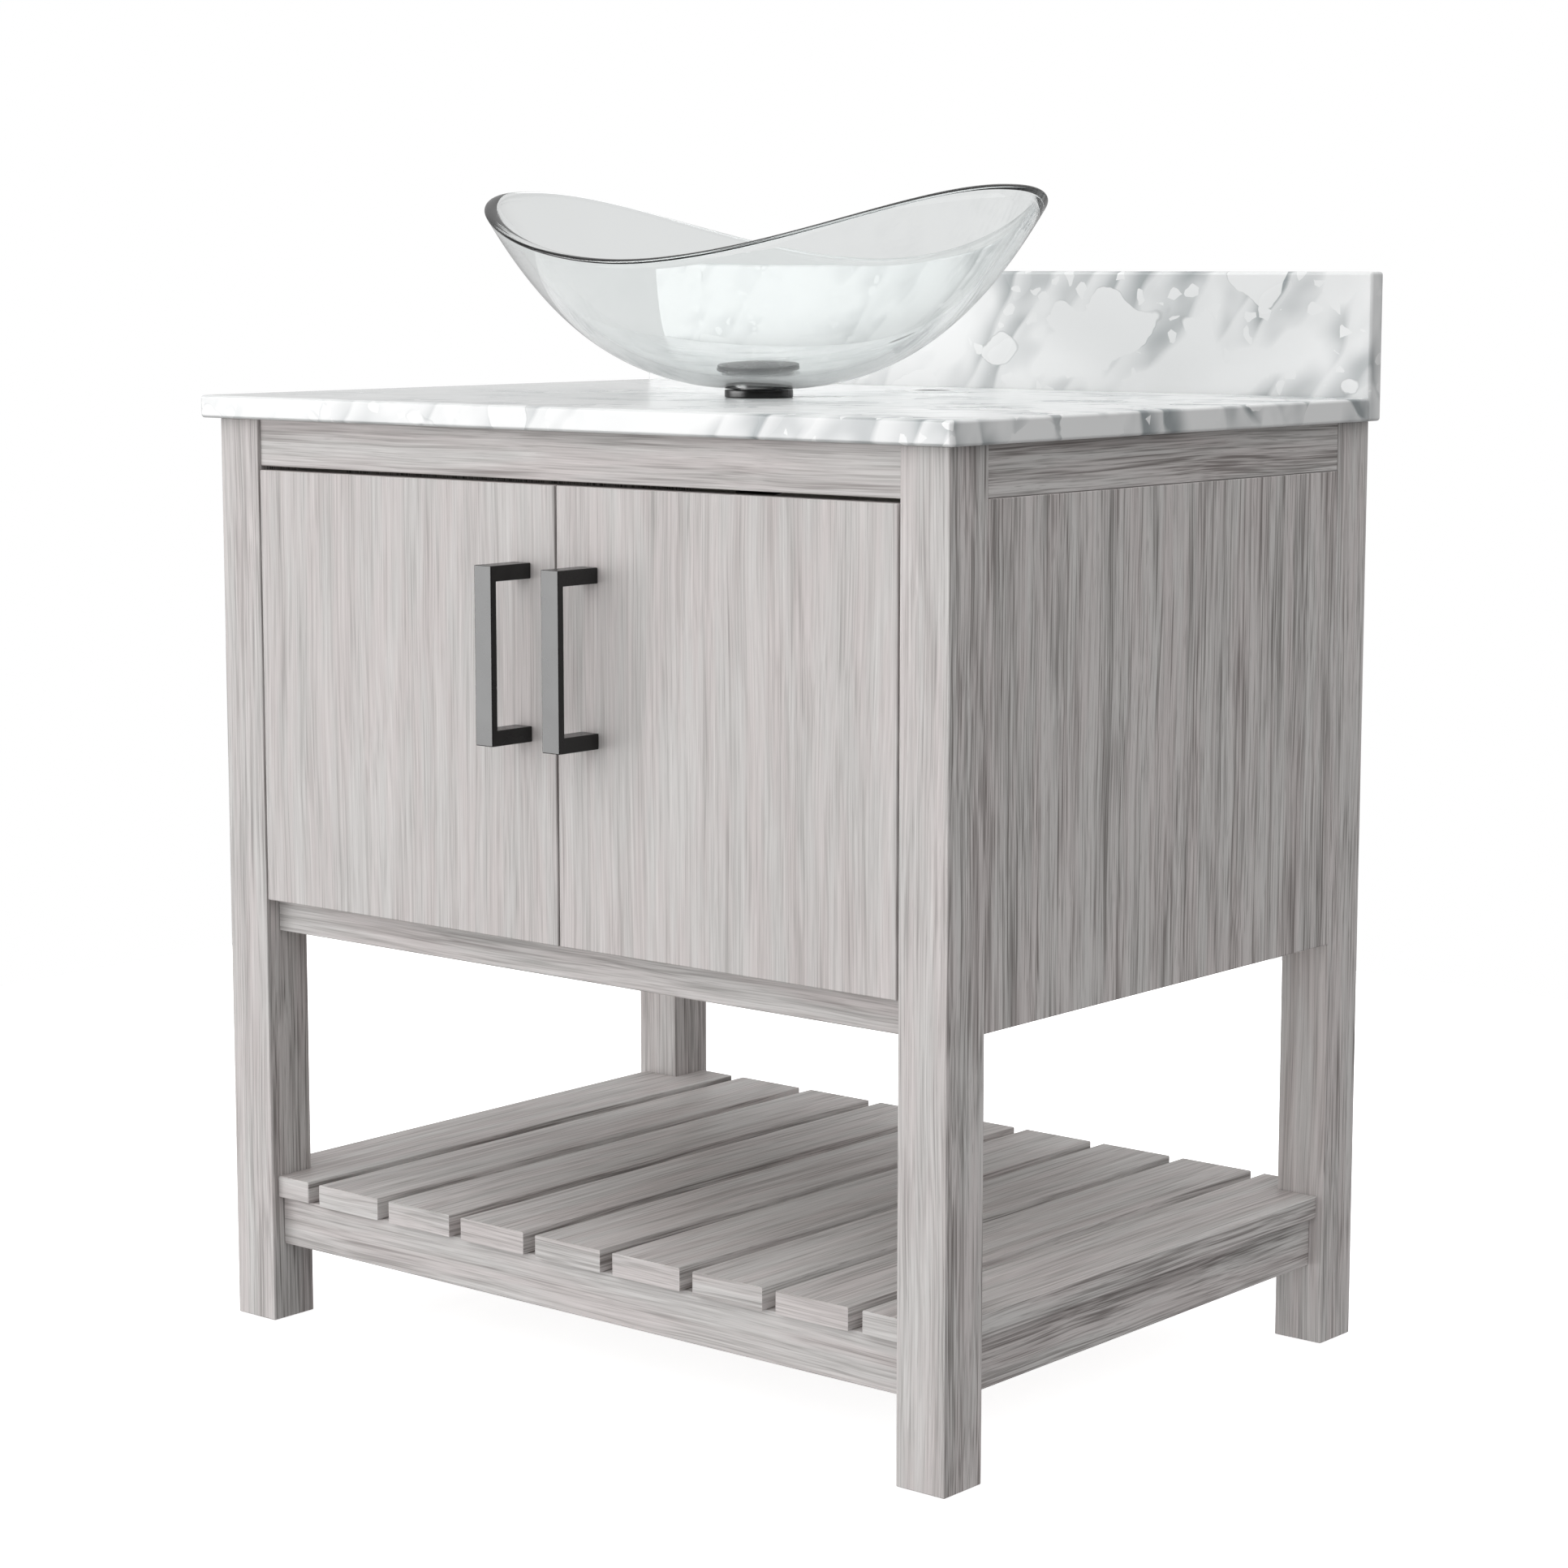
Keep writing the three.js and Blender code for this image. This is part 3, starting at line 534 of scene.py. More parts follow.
# Runs a tree of geometry nodes on an object, takes the result as a plain mesh and clears
# the modifier.
def baked(name, tree, values, start=None):
    holder = newObject(name, start or bpy.data.meshes.new(name))
    modifier = holder.modifiers.new("shape", "NODES")
    modifier.node_group = tree
    items = [item for item in tree.interface.items_tree if item.in_out == "INPUT"]
    named = {item.name: item.identifier for item in items}
    for label, value in values.items():
        modifier[named[label]] = value
    evaluated = holder.evaluated_get(bpy.context.evaluated_depsgraph_get())
    mesh = bpy.data.meshes.new_from_object(evaluated)
    mesh.name = name
    holder.modifiers.remove(modifier)
    holder.data = mesh
    return holder


def endTree(tree, made, output, material):
    real = geometry(tree, "RealizeInstances", {"Geometry": made})
    painted = geometry(tree, "SetMaterial", {"Geometry": real, "Material": material})
    tree.links.new(painted, output)


# The seven slats between the two outer ones.
slatSizes = {"count": 7, "ease": 0.9 * mm, "grainSeed": 70}


def addInnerSlats():
    low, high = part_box("shelf_slat_2")
    nextLow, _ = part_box("shelf_slat_3")
    labels = ["Pitch", "Width", "Thickness", "Length", "Edge Radius"]
    tree, given, output = newTree(
        "slatRow",
        [("Count", "Int"), *((label, "Float") for label in labels), ("First Middle", "Vector")],
    )
    section = {"Width": given["Width"], "Height": given["Thickness"]}
    outline = geometry(tree, "CurvePrimitiveQuadrilateral", section)
    eased = addNode(tree, "GeometryNodeFilletCurve", {"Curve": outline})
    eased.mode = "POLY"
    eased.inputs["Count"].default_value = 2
    tree.links.new(given["Edge Radius"], eased.inputs["Radius"])
    half = calc(tree, "MULTIPLY", given["Length"], 0.5)
    start = addNode(tree, "ShaderNodeCombineXYZ", {"Y": calc(tree, "MULTIPLY", half, -1.0)})
    end = addNode(tree, "ShaderNodeCombineXYZ", {"Y": half})
    length = {"Start": start.outputs[0], "End": end.outputs[0]}
    line = geometry(tree, "CurvePrimitiveLine", length)
    swept = {"Curve": line, "Profile Curve": eased.outputs[0], "Fill Caps": True}
    slat = geometry(tree, "CurveToMesh", swept)
    step = addNode(tree, "ShaderNodeCombineXYZ", {"X": given["Pitch"]}).outputs[0]
    middles = {"Count": given["Count"], "Start Location": given["First Middle"], "Offset": step}
    row = geometry(tree, "MeshLine", middles)
    placed = geometry(tree, "InstanceOnPoints", {"Points": row, "Instance": slat})
    endTree(tree, placed, output, washedWood)
    size = high - low
    pitch = nextLow.x - low.x
    slats = baked(
        "shelf_slats_inner",
        tree,
        {
            "Count": slatSizes["count"],
            "Pitch": pitch,
            "Width": size.x,
            "Thickness": size.z,
            "Length": size.y,
            "Edge Radius": slatSizes["ease"],
            "First Middle": (low + high) / 2,
        },
    )
    layGrain(slats.data, alongY, alongX, slatSizes["grainSeed"], "front", pitch)
    stoodFor = [f"shelf_slat_{number}" for number in range(2, 9)]
    settle(slats, washedWood, stoodFor)


addInnerSlats()
print("slats made")


stoneSizes = {
    "drainHole": 22.5 * mm,
    "faucetHole": 17.5 * mm,
    "faucetSetback": 69.7 * mm,
    "ease": 2.6 * mm,
    "cornerRadius": 3.2 * mm,
    "holeEase": 1.2 * mm,
    "easeSteps": 6,
    "cornerSteps": 6,
    "holeEaseSteps": 3,
    "holeSteps": 64,
}
splashSizes = {"ease": 2.6 * mm, "segments": 6, "shortestEased": 5 * mm}


def cornerLoop(low, high, inset, radius, steps):
    radius = max(radius - inset, 0.05 * mm)
    places = []
    corners = ((high.x, high.y), (low.x, high.y), (low.x, low.y), (high.x, low.y))
    for turn, (x, y) in enumerate(corners):
        inX = inset + radius if turn in (1, 2) else -inset - radius
        inY = inset + radius if turn in (2, 3) else -inset - radius
        for step in range(steps + 1):
            angle = (turn + step / steps) * math.pi / 2
            place = (x + inX + radius * math.cos(angle), y + inY + radius * math.sin(angle))
            places.append(place)
    return places


def roundLoop(x, y, radius, steps):
    angles = [2 * math.pi * step / steps for step in range(steps)]
    return [(x + radius * math.cos(a), y + radius * math.sin(a)) for a in angles]


# Heights and insets of an edge rounded at both ends of a wall from bottom to top.
def easedLevels(bottom, top, ease, steps):
    levels = []
    for step in range(steps + 1):
        angle = (1 - step / steps) * math.pi / 2
        levels.append((ease * (1 - math.cos(angle)), bottom + ease * (1 - math.sin(angle))))
    return levels + [(inset, top - (height - bottom)) for inset, height in reversed(levels)]


# Joins closed rows of points with four-sided faces, and returns the first and last row.
def joinRows(shape, rows):
    made = [[shape.verts.new(place) for place in row] for row in rows]
    for lower, upper in zip(made, made[1:]):
        count = len(lower)
        for i in range(count):
            after = (i + 1) % count
            shape.faces.new((lower[i], lower[after], upper[after], upper[i]))
    return made[0], made[-1]


def capBetween(shape, loops):
    edges = []
    for loop in loops:
        for a, b in zip(loop, loop[1:] + loop[:1]):
            edges.append(shape.edges.get((a, b)) or shape.edges.new((a, b)))
    bmesh.ops.triangle_fill(shape, edges=edges, use_beauty=True)


def addStoneTop():
    sizes = stoneSizes
    low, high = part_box("countertop")
    holes = [
        (0, middleOf("drain_body")[0].y, sizes["drainHole"]),
        (0, high.y - sizes["faucetSetback"], sizes["faucetHole"]),
    ]
    shape = bmesh.new()
    corner = sizes["cornerRadius"], sizes["cornerSteps"]
    rows = [
        [(x, y, z) for x, y in cornerLoop(low, high, inset, *corner)]
        for inset, z in easedLevels(low.z, high.z, sizes["ease"], sizes["easeSteps"])
    ]
    under, over = joinRows(shape, rows)
    unders, overs = [under], [over]
    for x, y, radius in holes:
        rows = [
            [(a, b, z) for a, b in roundLoop(x, y, radius + inset, sizes["holeSteps"])]
            for inset, z in easedLevels(low.z, high.z, sizes["holeEase"], sizes["holeEaseSteps"])
        ]
        under, over = joinRows(shape, rows)
        unders.append(under)
        overs.append(over)
    capBetween(shape, unders)
    capBetween(shape, overs)
    bmesh.ops.recalc_face_normals(shape, faces=shape.faces)
    top = meshFrom("stone_top", shape)
    # Marks the upright walls of the holes, where the marble paints shade in near-black.
    sawn = top.attributes.new("sawn", "FLOAT", "CORNER")
    for face in top.polygons:
        place, upright = face.center[:2], abs(face.normal.z) < 0.3
        inHole = any(math.dist(place, (x, y)) < radius + 0.1 * mm for x, y, radius in holes)
        for loop in face.loop_indices:
            sawn.data[loop].value = 1.0 if inHole and upright else 0.0
    settle(newObject("stone_top", top), marble, ("countertop",))
    splash = easedCopy("backsplash", splashSizes)
    settle(newObject("stone_backsplash", splash), marble, ("backsplash",))


addStoneTop()
print("stone made")


bowlSizes = {
    "halfLength": 259.2 * mm,
    "halfWidth": 169.3 * mm,
    "holeRadius": 22.5 * mm,
    "planExponent": 2.06,
    "glass": 9.5 * mm,
    "rimCrown": 2.6 * mm,
    "scale": 200 * mm,
    "sideways": 1.301,
    "rise": (53 * mm, 31.1 * mm, -3.3 * mm),
    "bottomLift": 2 * mm,
    "around": 224,
    "wallSteps": 52,
    "rimSteps": 14,
    "holeWallSteps": 4,
}


# Every size that the tree takes, by the label of its socket.
def bowlValues():
    sizes = bowlSizes
    keys = ("halfLength", "halfWidth", "holeRadius", "planExponent", "glass", "rimCrown")
    keys += ("scale", "sideways", "bottomLift")
    labels = ["".join(f" {c}" if c.isupper() else c for c in key).title() for key in keys]
    values = {label: sizes[key] for label, key in zip(labels, keys)}
    values |= {f"Rise {i}": rise for i, rise in enumerate(sizes["rise"], 1)}
    rows = 2 * sizes["wallSteps"] + sizes["rimSteps"] + sizes["holeWallSteps"]
    values |= {"Wall Share": sizes["wallSteps"] / rows, "Rim Share": sizes["rimSteps"] / rows}
    return values, {"Around": sizes["around"] + 1, "Rows": rows + 1}


def makeBowlTree(values, counts):
    tree, size, output = newTree(
        "ovalBowl",
        [(label, "Float") for label in values]
        + [(label, "Int") for label in counts]
        + [("Foot", "Vector")],
    )
    do = partial(calc, tree)
    cells = {"Vertices X": size["Around"], "Vertices Y": size["Rows"]}
    grid = geometry(tree, "MeshGrid", {"Size X": 1.0, "Size Y": 1.0, **cells})
    position = addNode(tree, "GeometryNodeInputPosition")
    place = addNode(tree, "ShaderNodeSeparateXYZ", {0: position.outputs[0]})
    angle = do("MULTIPLY", do("ADD", place.outputs[0], 0.5), 2 * math.pi)
    row = do("ADD", place.outputs[1], 0.5)

    # The rows climb the outer face, cross the rim, go down the inner face and close the hole.
    wallEnd = size["Wall Share"]
    rimEnd = do("ADD", wallEnd, size["Rim Share"])
    innerEnd = do("ADD", rimEnd, wallEnd)
    outward = spread(tree, row, 0.0, wallEnd)
    over = spread(tree, row, wallEnd, rimEnd)
    inward = spread(tree, row, rimEnd, innerEnd)
    through = spread(tree, row, innerEnd, 1.0)
    share = do("SUBTRACT", outward, inward)
    turn = do("MULTIPLY", over, math.pi)
    depth = do("SUBTRACT", do("MULTIPLY_ADD", do("COSINE", turn), -0.5, 0.5), through)
    crown = do("MULTIPLY", do("SINE", turn), size["Rim Crown"])

    # Plan: how far the rim is from the middle in this direction.
    exponent = size["Plan Exponent"]
    cosine, sine = do("COSINE", angle), do("SINE", angle)
    lengthwise = do("ABSOLUTE", do("DIVIDE", cosine, size["Half Length"]))
    crosswise = do("ABSOLUTE", do("DIVIDE", sine, size["Half Width"]))
    both = do("ADD", do("POWER", lengthwise, exponent), do("POWER", crosswise, exponent))
    reach = do("POWER", both, do("DIVIDE", -1.0, exponent))
    hole = size["Hole Radius"]
    radius = do("MULTIPLY_ADD", do("SUBTRACT", reach, hole), share, hole)
    x, y = do("MULTIPLY", radius, cosine), do("MULTIPLY", radius, sine)

    # Height, and how steeply it rises along and across the bowl.
    square = do("MULTIPLY", size["Scale"], size["Scale"])
    steep = do("MULTIPLY", size["Sideways"], size["Sideways"])
    squares = do("MULTIPLY_ADD", do("MULTIPLY", y, y), steep, do("MULTIPLY", x, x))
    out = do("DIVIDE", squares, square)
    one, two, three = (size[f"Rise {i}"] for i in (1, 2, 3))
    rise = do("MULTIPLY_ADD", out, do("MULTIPLY_ADD", out, three, two), one)
    rise = do("MULTIPLY", out, rise)
    twice, thrice = do("MULTIPLY", two, 2.0), do("MULTIPLY", three, 3.0)
    slope = do("MULTIPLY_ADD", out, do("MULTIPLY_ADD", out, thrice, twice), one)
    lift = size["Bottom Lift"]
    level = do("SQRT", do("MULTIPLY_ADD", rise, rise, do("MULTIPLY", lift, lift)))
    height = do("SUBTRACT", level, lift)
    slope = do("MULTIPLY", do("MULTIPLY", slope, rise), 2.0)
    slope = do("DIVIDE", slope, do("MULTIPLY", level, square))
    slopeX = do("MULTIPLY", do("MULTIPLY", slope, x), -1.0)
    slopeY = do("MULTIPLY", do("MULTIPLY", do("MULTIPLY", slope, y), steep), -1.0)

    # The wall is crossed at right angles low down and level at the rim.
    def unit(z):
        joined = addNode(tree, "ShaderNodeCombineXYZ", {"X": slopeX, "Y": slopeY, "Z": z})
        return vectorCalc(tree, "NORMALIZE", joined.outputs[0])

    normal, flat = unit(1.0), unit(0.0)
    lean = addNode(tree, "ShaderNodeMix", data_type="VECTOR", clamp_factor=False)
    tree.links.new(do("POWER", share, 3.0), lean.inputs[0])
    tree.links.new(normal, lean.inputs[4])
    tree.links.new(flat, lean.inputs[5])
    inwards = vectorCalc(tree, "NORMALIZE", lean.outputs[1])
    across = do("DIVIDE", size["Glass"], vectorCalc(tree, "DOT_PRODUCT", inwards, normal))
    inset = {0: inwards, "Scale": do("MULTIPLY", across, depth)}
    step = addNode(tree, "ShaderNodeVectorMath", inset, operation="SCALE")
    outer = addNode(tree, "ShaderNodeCombineXYZ", {"X": x, "Y": y, "Z": do("ADD", height, crown)})
    point = vectorCalc(tree, "ADD", outer.outputs[0], step.outputs[0])
    point = vectorCalc(tree, "ADD", point, size["Foot"])
    shaped = geometry(tree, "SetPosition", {"Geometry": grid, "Position": point})
    closed = geometry(tree, "MergeByDistance", {"Geometry": shaped, "Distance": 0.01 * mm})
    endTree(tree, closed, output, clearGlass)
    return tree


def addGlassBowl():
    middle, bottom, _, _ = middleOf("glass_bowl")
    values, counts = bowlValues()
    foot = {"Foot": (0, middle.y, bottom)}
    bowl = baked("oval_bowl", makeBowlTree(values, counts), {**values, **counts, **foot})
    shape = bmesh.new()
    shape.from_mesh(bowl.data)
    bmesh.ops.recalc_face_normals(shape, faces=shape.faces)
    shape.to_mesh(bowl.data)
    shape.free()
    smoothOver(bowl.data, 40)
    settle(bowl, clearGlass, ("glass_bowl",))


addGlassBowl()
print("bowl made")


# Rounds the corners of a closed outline of (radius, height) points, axis points excepted.
def roundedCorners(points, ease, steps=4):
    made = []
    count = len(points)
    for i, here in enumerate(points):
        before, after = Vector(points[i - 1]), Vector(points[(i + 1) % count])
        here = Vector(here)
        if here.x < 1e-9:
            made.append(here)
            continue
        back, on = before - here, after - here
        cut = min(ease, back.length * 0.45, on.length * 0.45)
        first, last = here + back.normalized() * cut, here + on.normalized() * cut
        for step in range(steps + 1):
            t = step / steps
            made.append(first * (1 - t) ** 2 + here * 2 * t * (1 - t) + last * t**2)
    return made


def turnedShape(outline, middle, segments=72):
    shape = bmesh.new()
    rows = [
        [(x, y, p.y) for x, y in roundLoop(middle.x, middle.y, p.x, segments)]
        for p in outline
    ]
    joinRows(shape, rows + rows[:1])
    bmesh.ops.remove_doubles(shape, verts=shape.verts, dist=1e-6)
    bmesh.ops.dissolve_degenerate(shape, edges=shape.edges, dist=1e-7)
    bmesh.ops.recalc_face_normals(shape, faces=shape.faces)
    return shape


def addTurned(name, node, outline, material, ease):
    shape = turnedShape(roundedCorners(outline, ease), middleOf(node)[0])
    mesh = meshFrom(name, shape)
    smoothOver(mesh, 40)
    settle(newObject(name, mesh), material, (node,))


# The outline of a plain ring or tube.
def ringOutline(inner, outer, bottom, top):
    return [(inner, bottom), (outer, bottom), (outer, top), (inner, top)]


drainSizes = {
    "bore": 16.3 * mm,
    "tube": 19.0 * mm,
    "flangeThickness": 2.6 * mm,
    "stem": 4.0 * mm,
    "capEdge": 2.2 * mm,
    "capCrown": 3.0 * mm,
    "tailWall": 1.5 * mm,
    "ringWidth": 5.5 * mm,
    "gasketGap": 0.3 * mm,
    "mouthWidth": 2 * mm,  # the funnel at the top of the bore
    "mouthDepth": 3 * mm,
    "edgeEase": 0.5 * mm,
    "capEase": 0.6 * mm,
    "tailEase": 0.4 * mm,
    "ringEase": 0.8 * mm,
    "gasketEase": 0.4 * mm,
}


def addDrain():
    sizes = drainSizes
    _, bottom, top, flange = middleOf("drain_body")
    under = top - sizes["flangeThickness"]
    addTurned(
        "drain_flange_and_tube",
        "drain_body",
        [
            (sizes["bore"], bottom),
            (sizes["tube"], bottom),
            (sizes["tube"], under),
            (flange, under),
            (flange, top),
            (sizes["bore"] + sizes["mouthWidth"], top),
            (sizes["bore"], top - sizes["mouthDepth"]),
        ],
        blackMetal,
        sizes["edgeEase"],
    )
    _, bottom, top, radius = middleOf("popup_cap")
    under = top - sizes["capEdge"] - sizes["capCrown"]
    edgeTop = under + sizes["capEdge"]
    crown = [
        (radius * share, edgeTop + sizes["capCrown"] * (1 - share**2))
        for share in (0.96, 0.9, 0.8, 0.7, 0.6, 0.5, 0.4, 0.3, 0.2, 0.1)
    ]
    addTurned(
        "drain_cap",
        "popup_cap",
        [
            (0, bottom),
            (sizes["stem"], bottom),
            (sizes["stem"], under),
            (radius, under),
            (radius, edgeTop),
            *crown,
            (0, top),
        ],
        blackMetal,
        sizes["capEase"],
    )
    _, bottom, top, radius = middleOf("tailpiece")
    outline = ringOutline(radius - sizes["tailWall"], radius, bottom, top)
    addTurned("waste_tube", "tailpiece", outline, chrome, sizes["tailEase"])
    _, bottom, top, radius = middleOf("mounting_ring")
    outline = ringOutline(radius - sizes["ringWidth"], radius, bottom, top)
    addTurned("bowl_ring", "mounting_ring", outline, blackMetal, sizes["ringEase"])
    for node in ("flange_gasket", "counter_washer"):
        _, bottom, top, radius = middleOf(node)
        outline = ringOutline(sizes["tube"] + sizes["gasketGap"], radius, bottom, top)
        addTurned(f"{node}_ring", node, outline, rubber, sizes["gasketEase"])


addDrain()
print("drain made")


handleSizes = {"ease": 0.7 * mm, "segments": 3, "shortestEased": 2.5 * mm}


def addHandles():
    for side in sides:
        node = f"handle_{side}"
        mesh = easedCopy(node, handleSizes)
        settle(newObject(f"bar_{node}", mesh), blackMetal, (node,))


addHandles()
print("handles made")


cupSizes = {"ease": 0.3 * mm, "segments": 2, "shortestEased": 3 * mm}
armSizes = {"ease": 0.8 * mm, "segments": 3, "shortestEased": 2 * mm}
nutSizes = {"ease": 1.2 * mm, "segments": 3, "shortestEased": 6 * mm}
screwPlaces = {
    "cupSpacing": 48 * mm,
    "cupSeat": -0.2 * mm,  # from the inner face of the cup's plate
    "plateSpacing": 38 * mm,
    "plateSeat": 3.2 * mm,  # from the board it lies on
    "plateSetback": 20 * mm,
}
handleScrewSizes = {
    "head": 4.0 * mm,
    "height": 2.2 * mm,
    "shank": 2.0 * mm,
    "recess": 2.3 * mm,
}
boardScrewSizes = {
    "head": 3.4 * mm,
    "height": 1.3 * mm,
    "shank": 1.6 * mm,
    "recess": 2.0 * mm,
    "length": 5 * mm,
}


def addHinges():
    for side in sides:
        for height in ("upper", "lower"):
            cup, arm = f"hinge_cup_{side}_{height}", f"hinge_arm_{side}_{height}"
            cupMesh = easedCopy(cup, cupSizes)
            smoothOver(cupMesh, 25)
            settle(newObject(f"{cup}_pressed", cupMesh), zincSteel, (cup,))
            armMesh = easedCopy(arm, armSizes)
            settle(newObject(f"{arm}_pressed", armMesh), zincSteel, (arm,))
    nut = easedCopy("drain_nut", nutSizes)
    settle(newObject("drain_nut_hex", nut), zincSteel, ("drain_nut",))


# A screw with its seat at the origin, its head up and a cross cut into the head.
def makeScrew(sizes, length):
    head, height, shank = sizes["head"], sizes["height"], sizes["shank"]
    angles = [math.pi / 2 * i / 6 for i in range(7)]
    dome = [Vector((head * math.cos(a), height * (0.35 + 0.65 * math.sin(a)))) for a in angles]
    dome[-1].x = 0
    shankPoints = [(0, -length), (shank * 0.6, -length), (shank, -length + shank), (shank, 0)]
    outline = [Vector(point) for point in (*shankPoints, (head, 0))] + dome
    turned = turnedShape(outline, Vector((0, 0, 0)), 32)
    screw = newObject("screw", meshFrom("screw", turned))
    long, short = sizes["recess"], sizes["recess"] * 0.26
    plus = [(long, -short), (long, short), (short, short)]
    plus += [(short, long), (-short, long), (-short, short)]
    plus += [(-x, -y) for x, y in plus]
    floor, over = height * 0.4, height + 1 * mm
    shape = bmesh.new()
    under, over = joinRows(shape, [[(x, y, z) for x, y in plus] for z in (floor, over)])
    shape.faces.new(under)
    shape.faces.new(over)
    bmesh.ops.recalc_face_normals(shape, faces=shape.faces)
    cutter = newObject("cross", meshFrom("cross", shape))
    cut = screw.modifiers.new("cross", "BOOLEAN")
    cut.operation, cut.object, cut.solver = "DIFFERENCE", cutter, "EXACT"
    evaluated = screw.evaluated_get(bpy.context.evaluated_depsgraph_get())
    mesh = bpy.data.meshes.new_from_object(evaluated)
    screw.modifiers.remove(cut)
    bpy.data.objects.remove(cutter)
    smoothOver(mesh, 35)
    screw.data = mesh
    return screw


def makeScrewTree():
    tree, given, output = newTree("screwSet", [("Screw", "Object"), ("Turn Seed", "Int")])
    source = {"Object": given["Screw"], "As Instance": True}
    pattern = addNode(tree, "GeometryNodeObjectInfo", source)
    name = {"Name": "facing"}
    facing = addNode(tree, "GeometryNodeInputNamedAttribute", name, data_type="FLOAT_VECTOR")
    direction = {"Vector": facing.outputs[0]}
    aligned = addNode(tree, "FunctionNodeAlignRotationToVector", direction, axis="Z")
    angle = addNode(tree, "FunctionNodeRandomValue", data_type="FLOAT")
    angle.inputs[3].default_value = math.pi  # the largest turn of a head's cross
    tree.links.new(given["Turn Seed"], angle.inputs["Seed"])
    turn = {"Axis": (0, 0, 1), "Angle": angle.outputs[1]}
    spin = addNode(tree, "FunctionNodeAxisAngleToRotation", turn)
    turns = {"Rotation": aligned.outputs[0], "Rotate By": spin.outputs[0]}
    turned = addNode(tree, "FunctionNodeRotateRotation", turns, rotation_space="LOCAL")
    one = {"Instance": pattern.outputs["Geometry"], "Rotation": turned.outputs[0]}
    placed = geometry(tree, "InstanceOnPoints", {"Points": given[0], **one})
    endTree(tree, placed, output, zincSteel)
    return tree


# One mesh of screws for one body: places are (seat, direction that the head faces).
def addScrews(name, screw, places, seed, body, stoodFor=()):
    mesh = bpy.data.meshes.new(name)
    mesh.from_pydata([seat for seat, _ in places], [], [])
    facing = mesh.attributes.new("facing", "FLOAT_VECTOR", "POINT")
    for index, (_, direction) in enumerate(places):
        facing.data[index].vector = direction
    piece = baked(name, screwTree, {"Screw": screw, "Turn Seed": seed}, mesh)
    settle(piece, zincSteel, stoodFor, body)


def addAllScrews():
    sizes = screwPlaces
    inside = Vector((0, 1, 0))
    low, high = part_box("handle_screw_left_upper")
    length = high.y - low.y - handleScrewSizes["height"]
    handleScrew = makeScrew(handleScrewSizes, length)
    boardScrew = makeScrew(boardScrewSizes, boardScrewSizes["length"])
    boardPlaces = []
    for side, inward in (("left", Vector((1, 0, 0))), ("right", Vector((-1, 0, 0)))):
        handlePlaces, cupPlaces, stoodFor = [], [], []
        for height in ("upper", "lower"):
            node = f"handle_screw_{side}_{height}"
            low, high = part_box(node)
            middle = (low + high) / 2
            handlePlaces.append((Vector((middle.x, low.y + length, middle.z)), inside))
            stoodFor.append(node)
            low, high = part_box(f"hinge_cup_{side}_{height}")
            middle = (low + high) / 2
            for up in (-0.5, 0.5):
                z = middle.z + up * sizes["cupSpacing"]
                cupPlaces.append((Vector((middle.x, high.y + sizes["cupSeat"], z)), inside))
            low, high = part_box(f"hinge_arm_{side}_{height}")
            middle = (low + high) / 2
            x = (low.x if side == "left" else high.x) + inward.x * sizes["plateSeat"]
            for up in (-0.5, 0.5):
                z = middle.z + up * sizes["plateSpacing"]
                seat = Vector((x, high.y - sizes["plateSetback"], z))
                boardPlaces.append((seat, inward))
        addScrews(f"handle_screws_{side}", handleScrew, handlePlaces, 3, f"door_{side}", stoodFor)
        addScrews(f"hinge_cup_screws_{side}", boardScrew, cupPlaces, 5, f"door_{side}")
        for end in ends:
            middle, bottom, _, _ = middleOf(f"corner_block_{end}_{side}")
            boardPlaces.append((Vector((middle.x, middle.y, bottom)), Vector((0, 0, -1))))
    addScrews("board_screws", boardScrew, boardPlaces, 8, "vanity")
    for screw in (handleScrew, boardScrew):
        bpy.data.objects.remove(screw)


threadSizes = {"pitch": 2.0 * mm, "ridge": 0.26 * mm, "aroundEach": 40, "start": 2 * mm}


def addThread():
    sizes = threadSizes
    kinds = {"Radius": "Float", "Height": "Float", "Turns": "Float", "Around": "Int"}
    kinds |= {"Ridge": "Float", "Foot": "Vector"}
    tree, size, output = newTree("thread", kinds.items())
    turns = {"Resolution": size["Around"], "Rotations": size["Turns"], "Height": size["Height"]}
    radii = {"Start Radius": size["Radius"], "End Radius": size["Radius"]}
    coil = geometry(tree, "CurveSpiral", {**turns, **radii})
    square = {"Resolution": 4, "Radius": size["Ridge"]}
    section = geometry(tree, "CurvePrimitiveCircle", square)
    swept = {"Curve": coil, "Profile Curve": section, "Fill Caps": True}
    ridge = geometry(tree, "CurveToMesh", swept)
    placed = geometry(tree, "Transform", {"Geometry": ridge, "Translation": size["Foot"]})
    endTree(tree, placed, output, blackMetal)
    middle, bottom, _, _ = middleOf("drain_body")
    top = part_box("counter_washer")[0].z
    bottom += sizes["start"]
    thread = baked(
        "drain_thread",
        tree,
        {
            "Radius": drainSizes["tube"],
            "Height": top - bottom,
            "Turns": (top - bottom) / sizes["pitch"],
            "Around": sizes["aroundEach"],
            "Ridge": sizes["ridge"],
            "Foot": (middle.x, middle.y, bottom),
        },
    )
    settle(thread, blackMetal, (), "vanity")


stemGuideSizes = {
    "guideRadius": 4.3 * mm,
    "hubRadius": 7 * mm,
    "hubHeight": 8 * mm,
    "hubDepth": 26 * mm,  # from the flange's top to the hub's
    "hubEase": 0.4 * mm,
    "spokes": 4,
    "spokeLength": 10.2 * mm,
    "spokeWidth": 3 * mm,
    "spokeMiddle": 11.6 * mm,
}


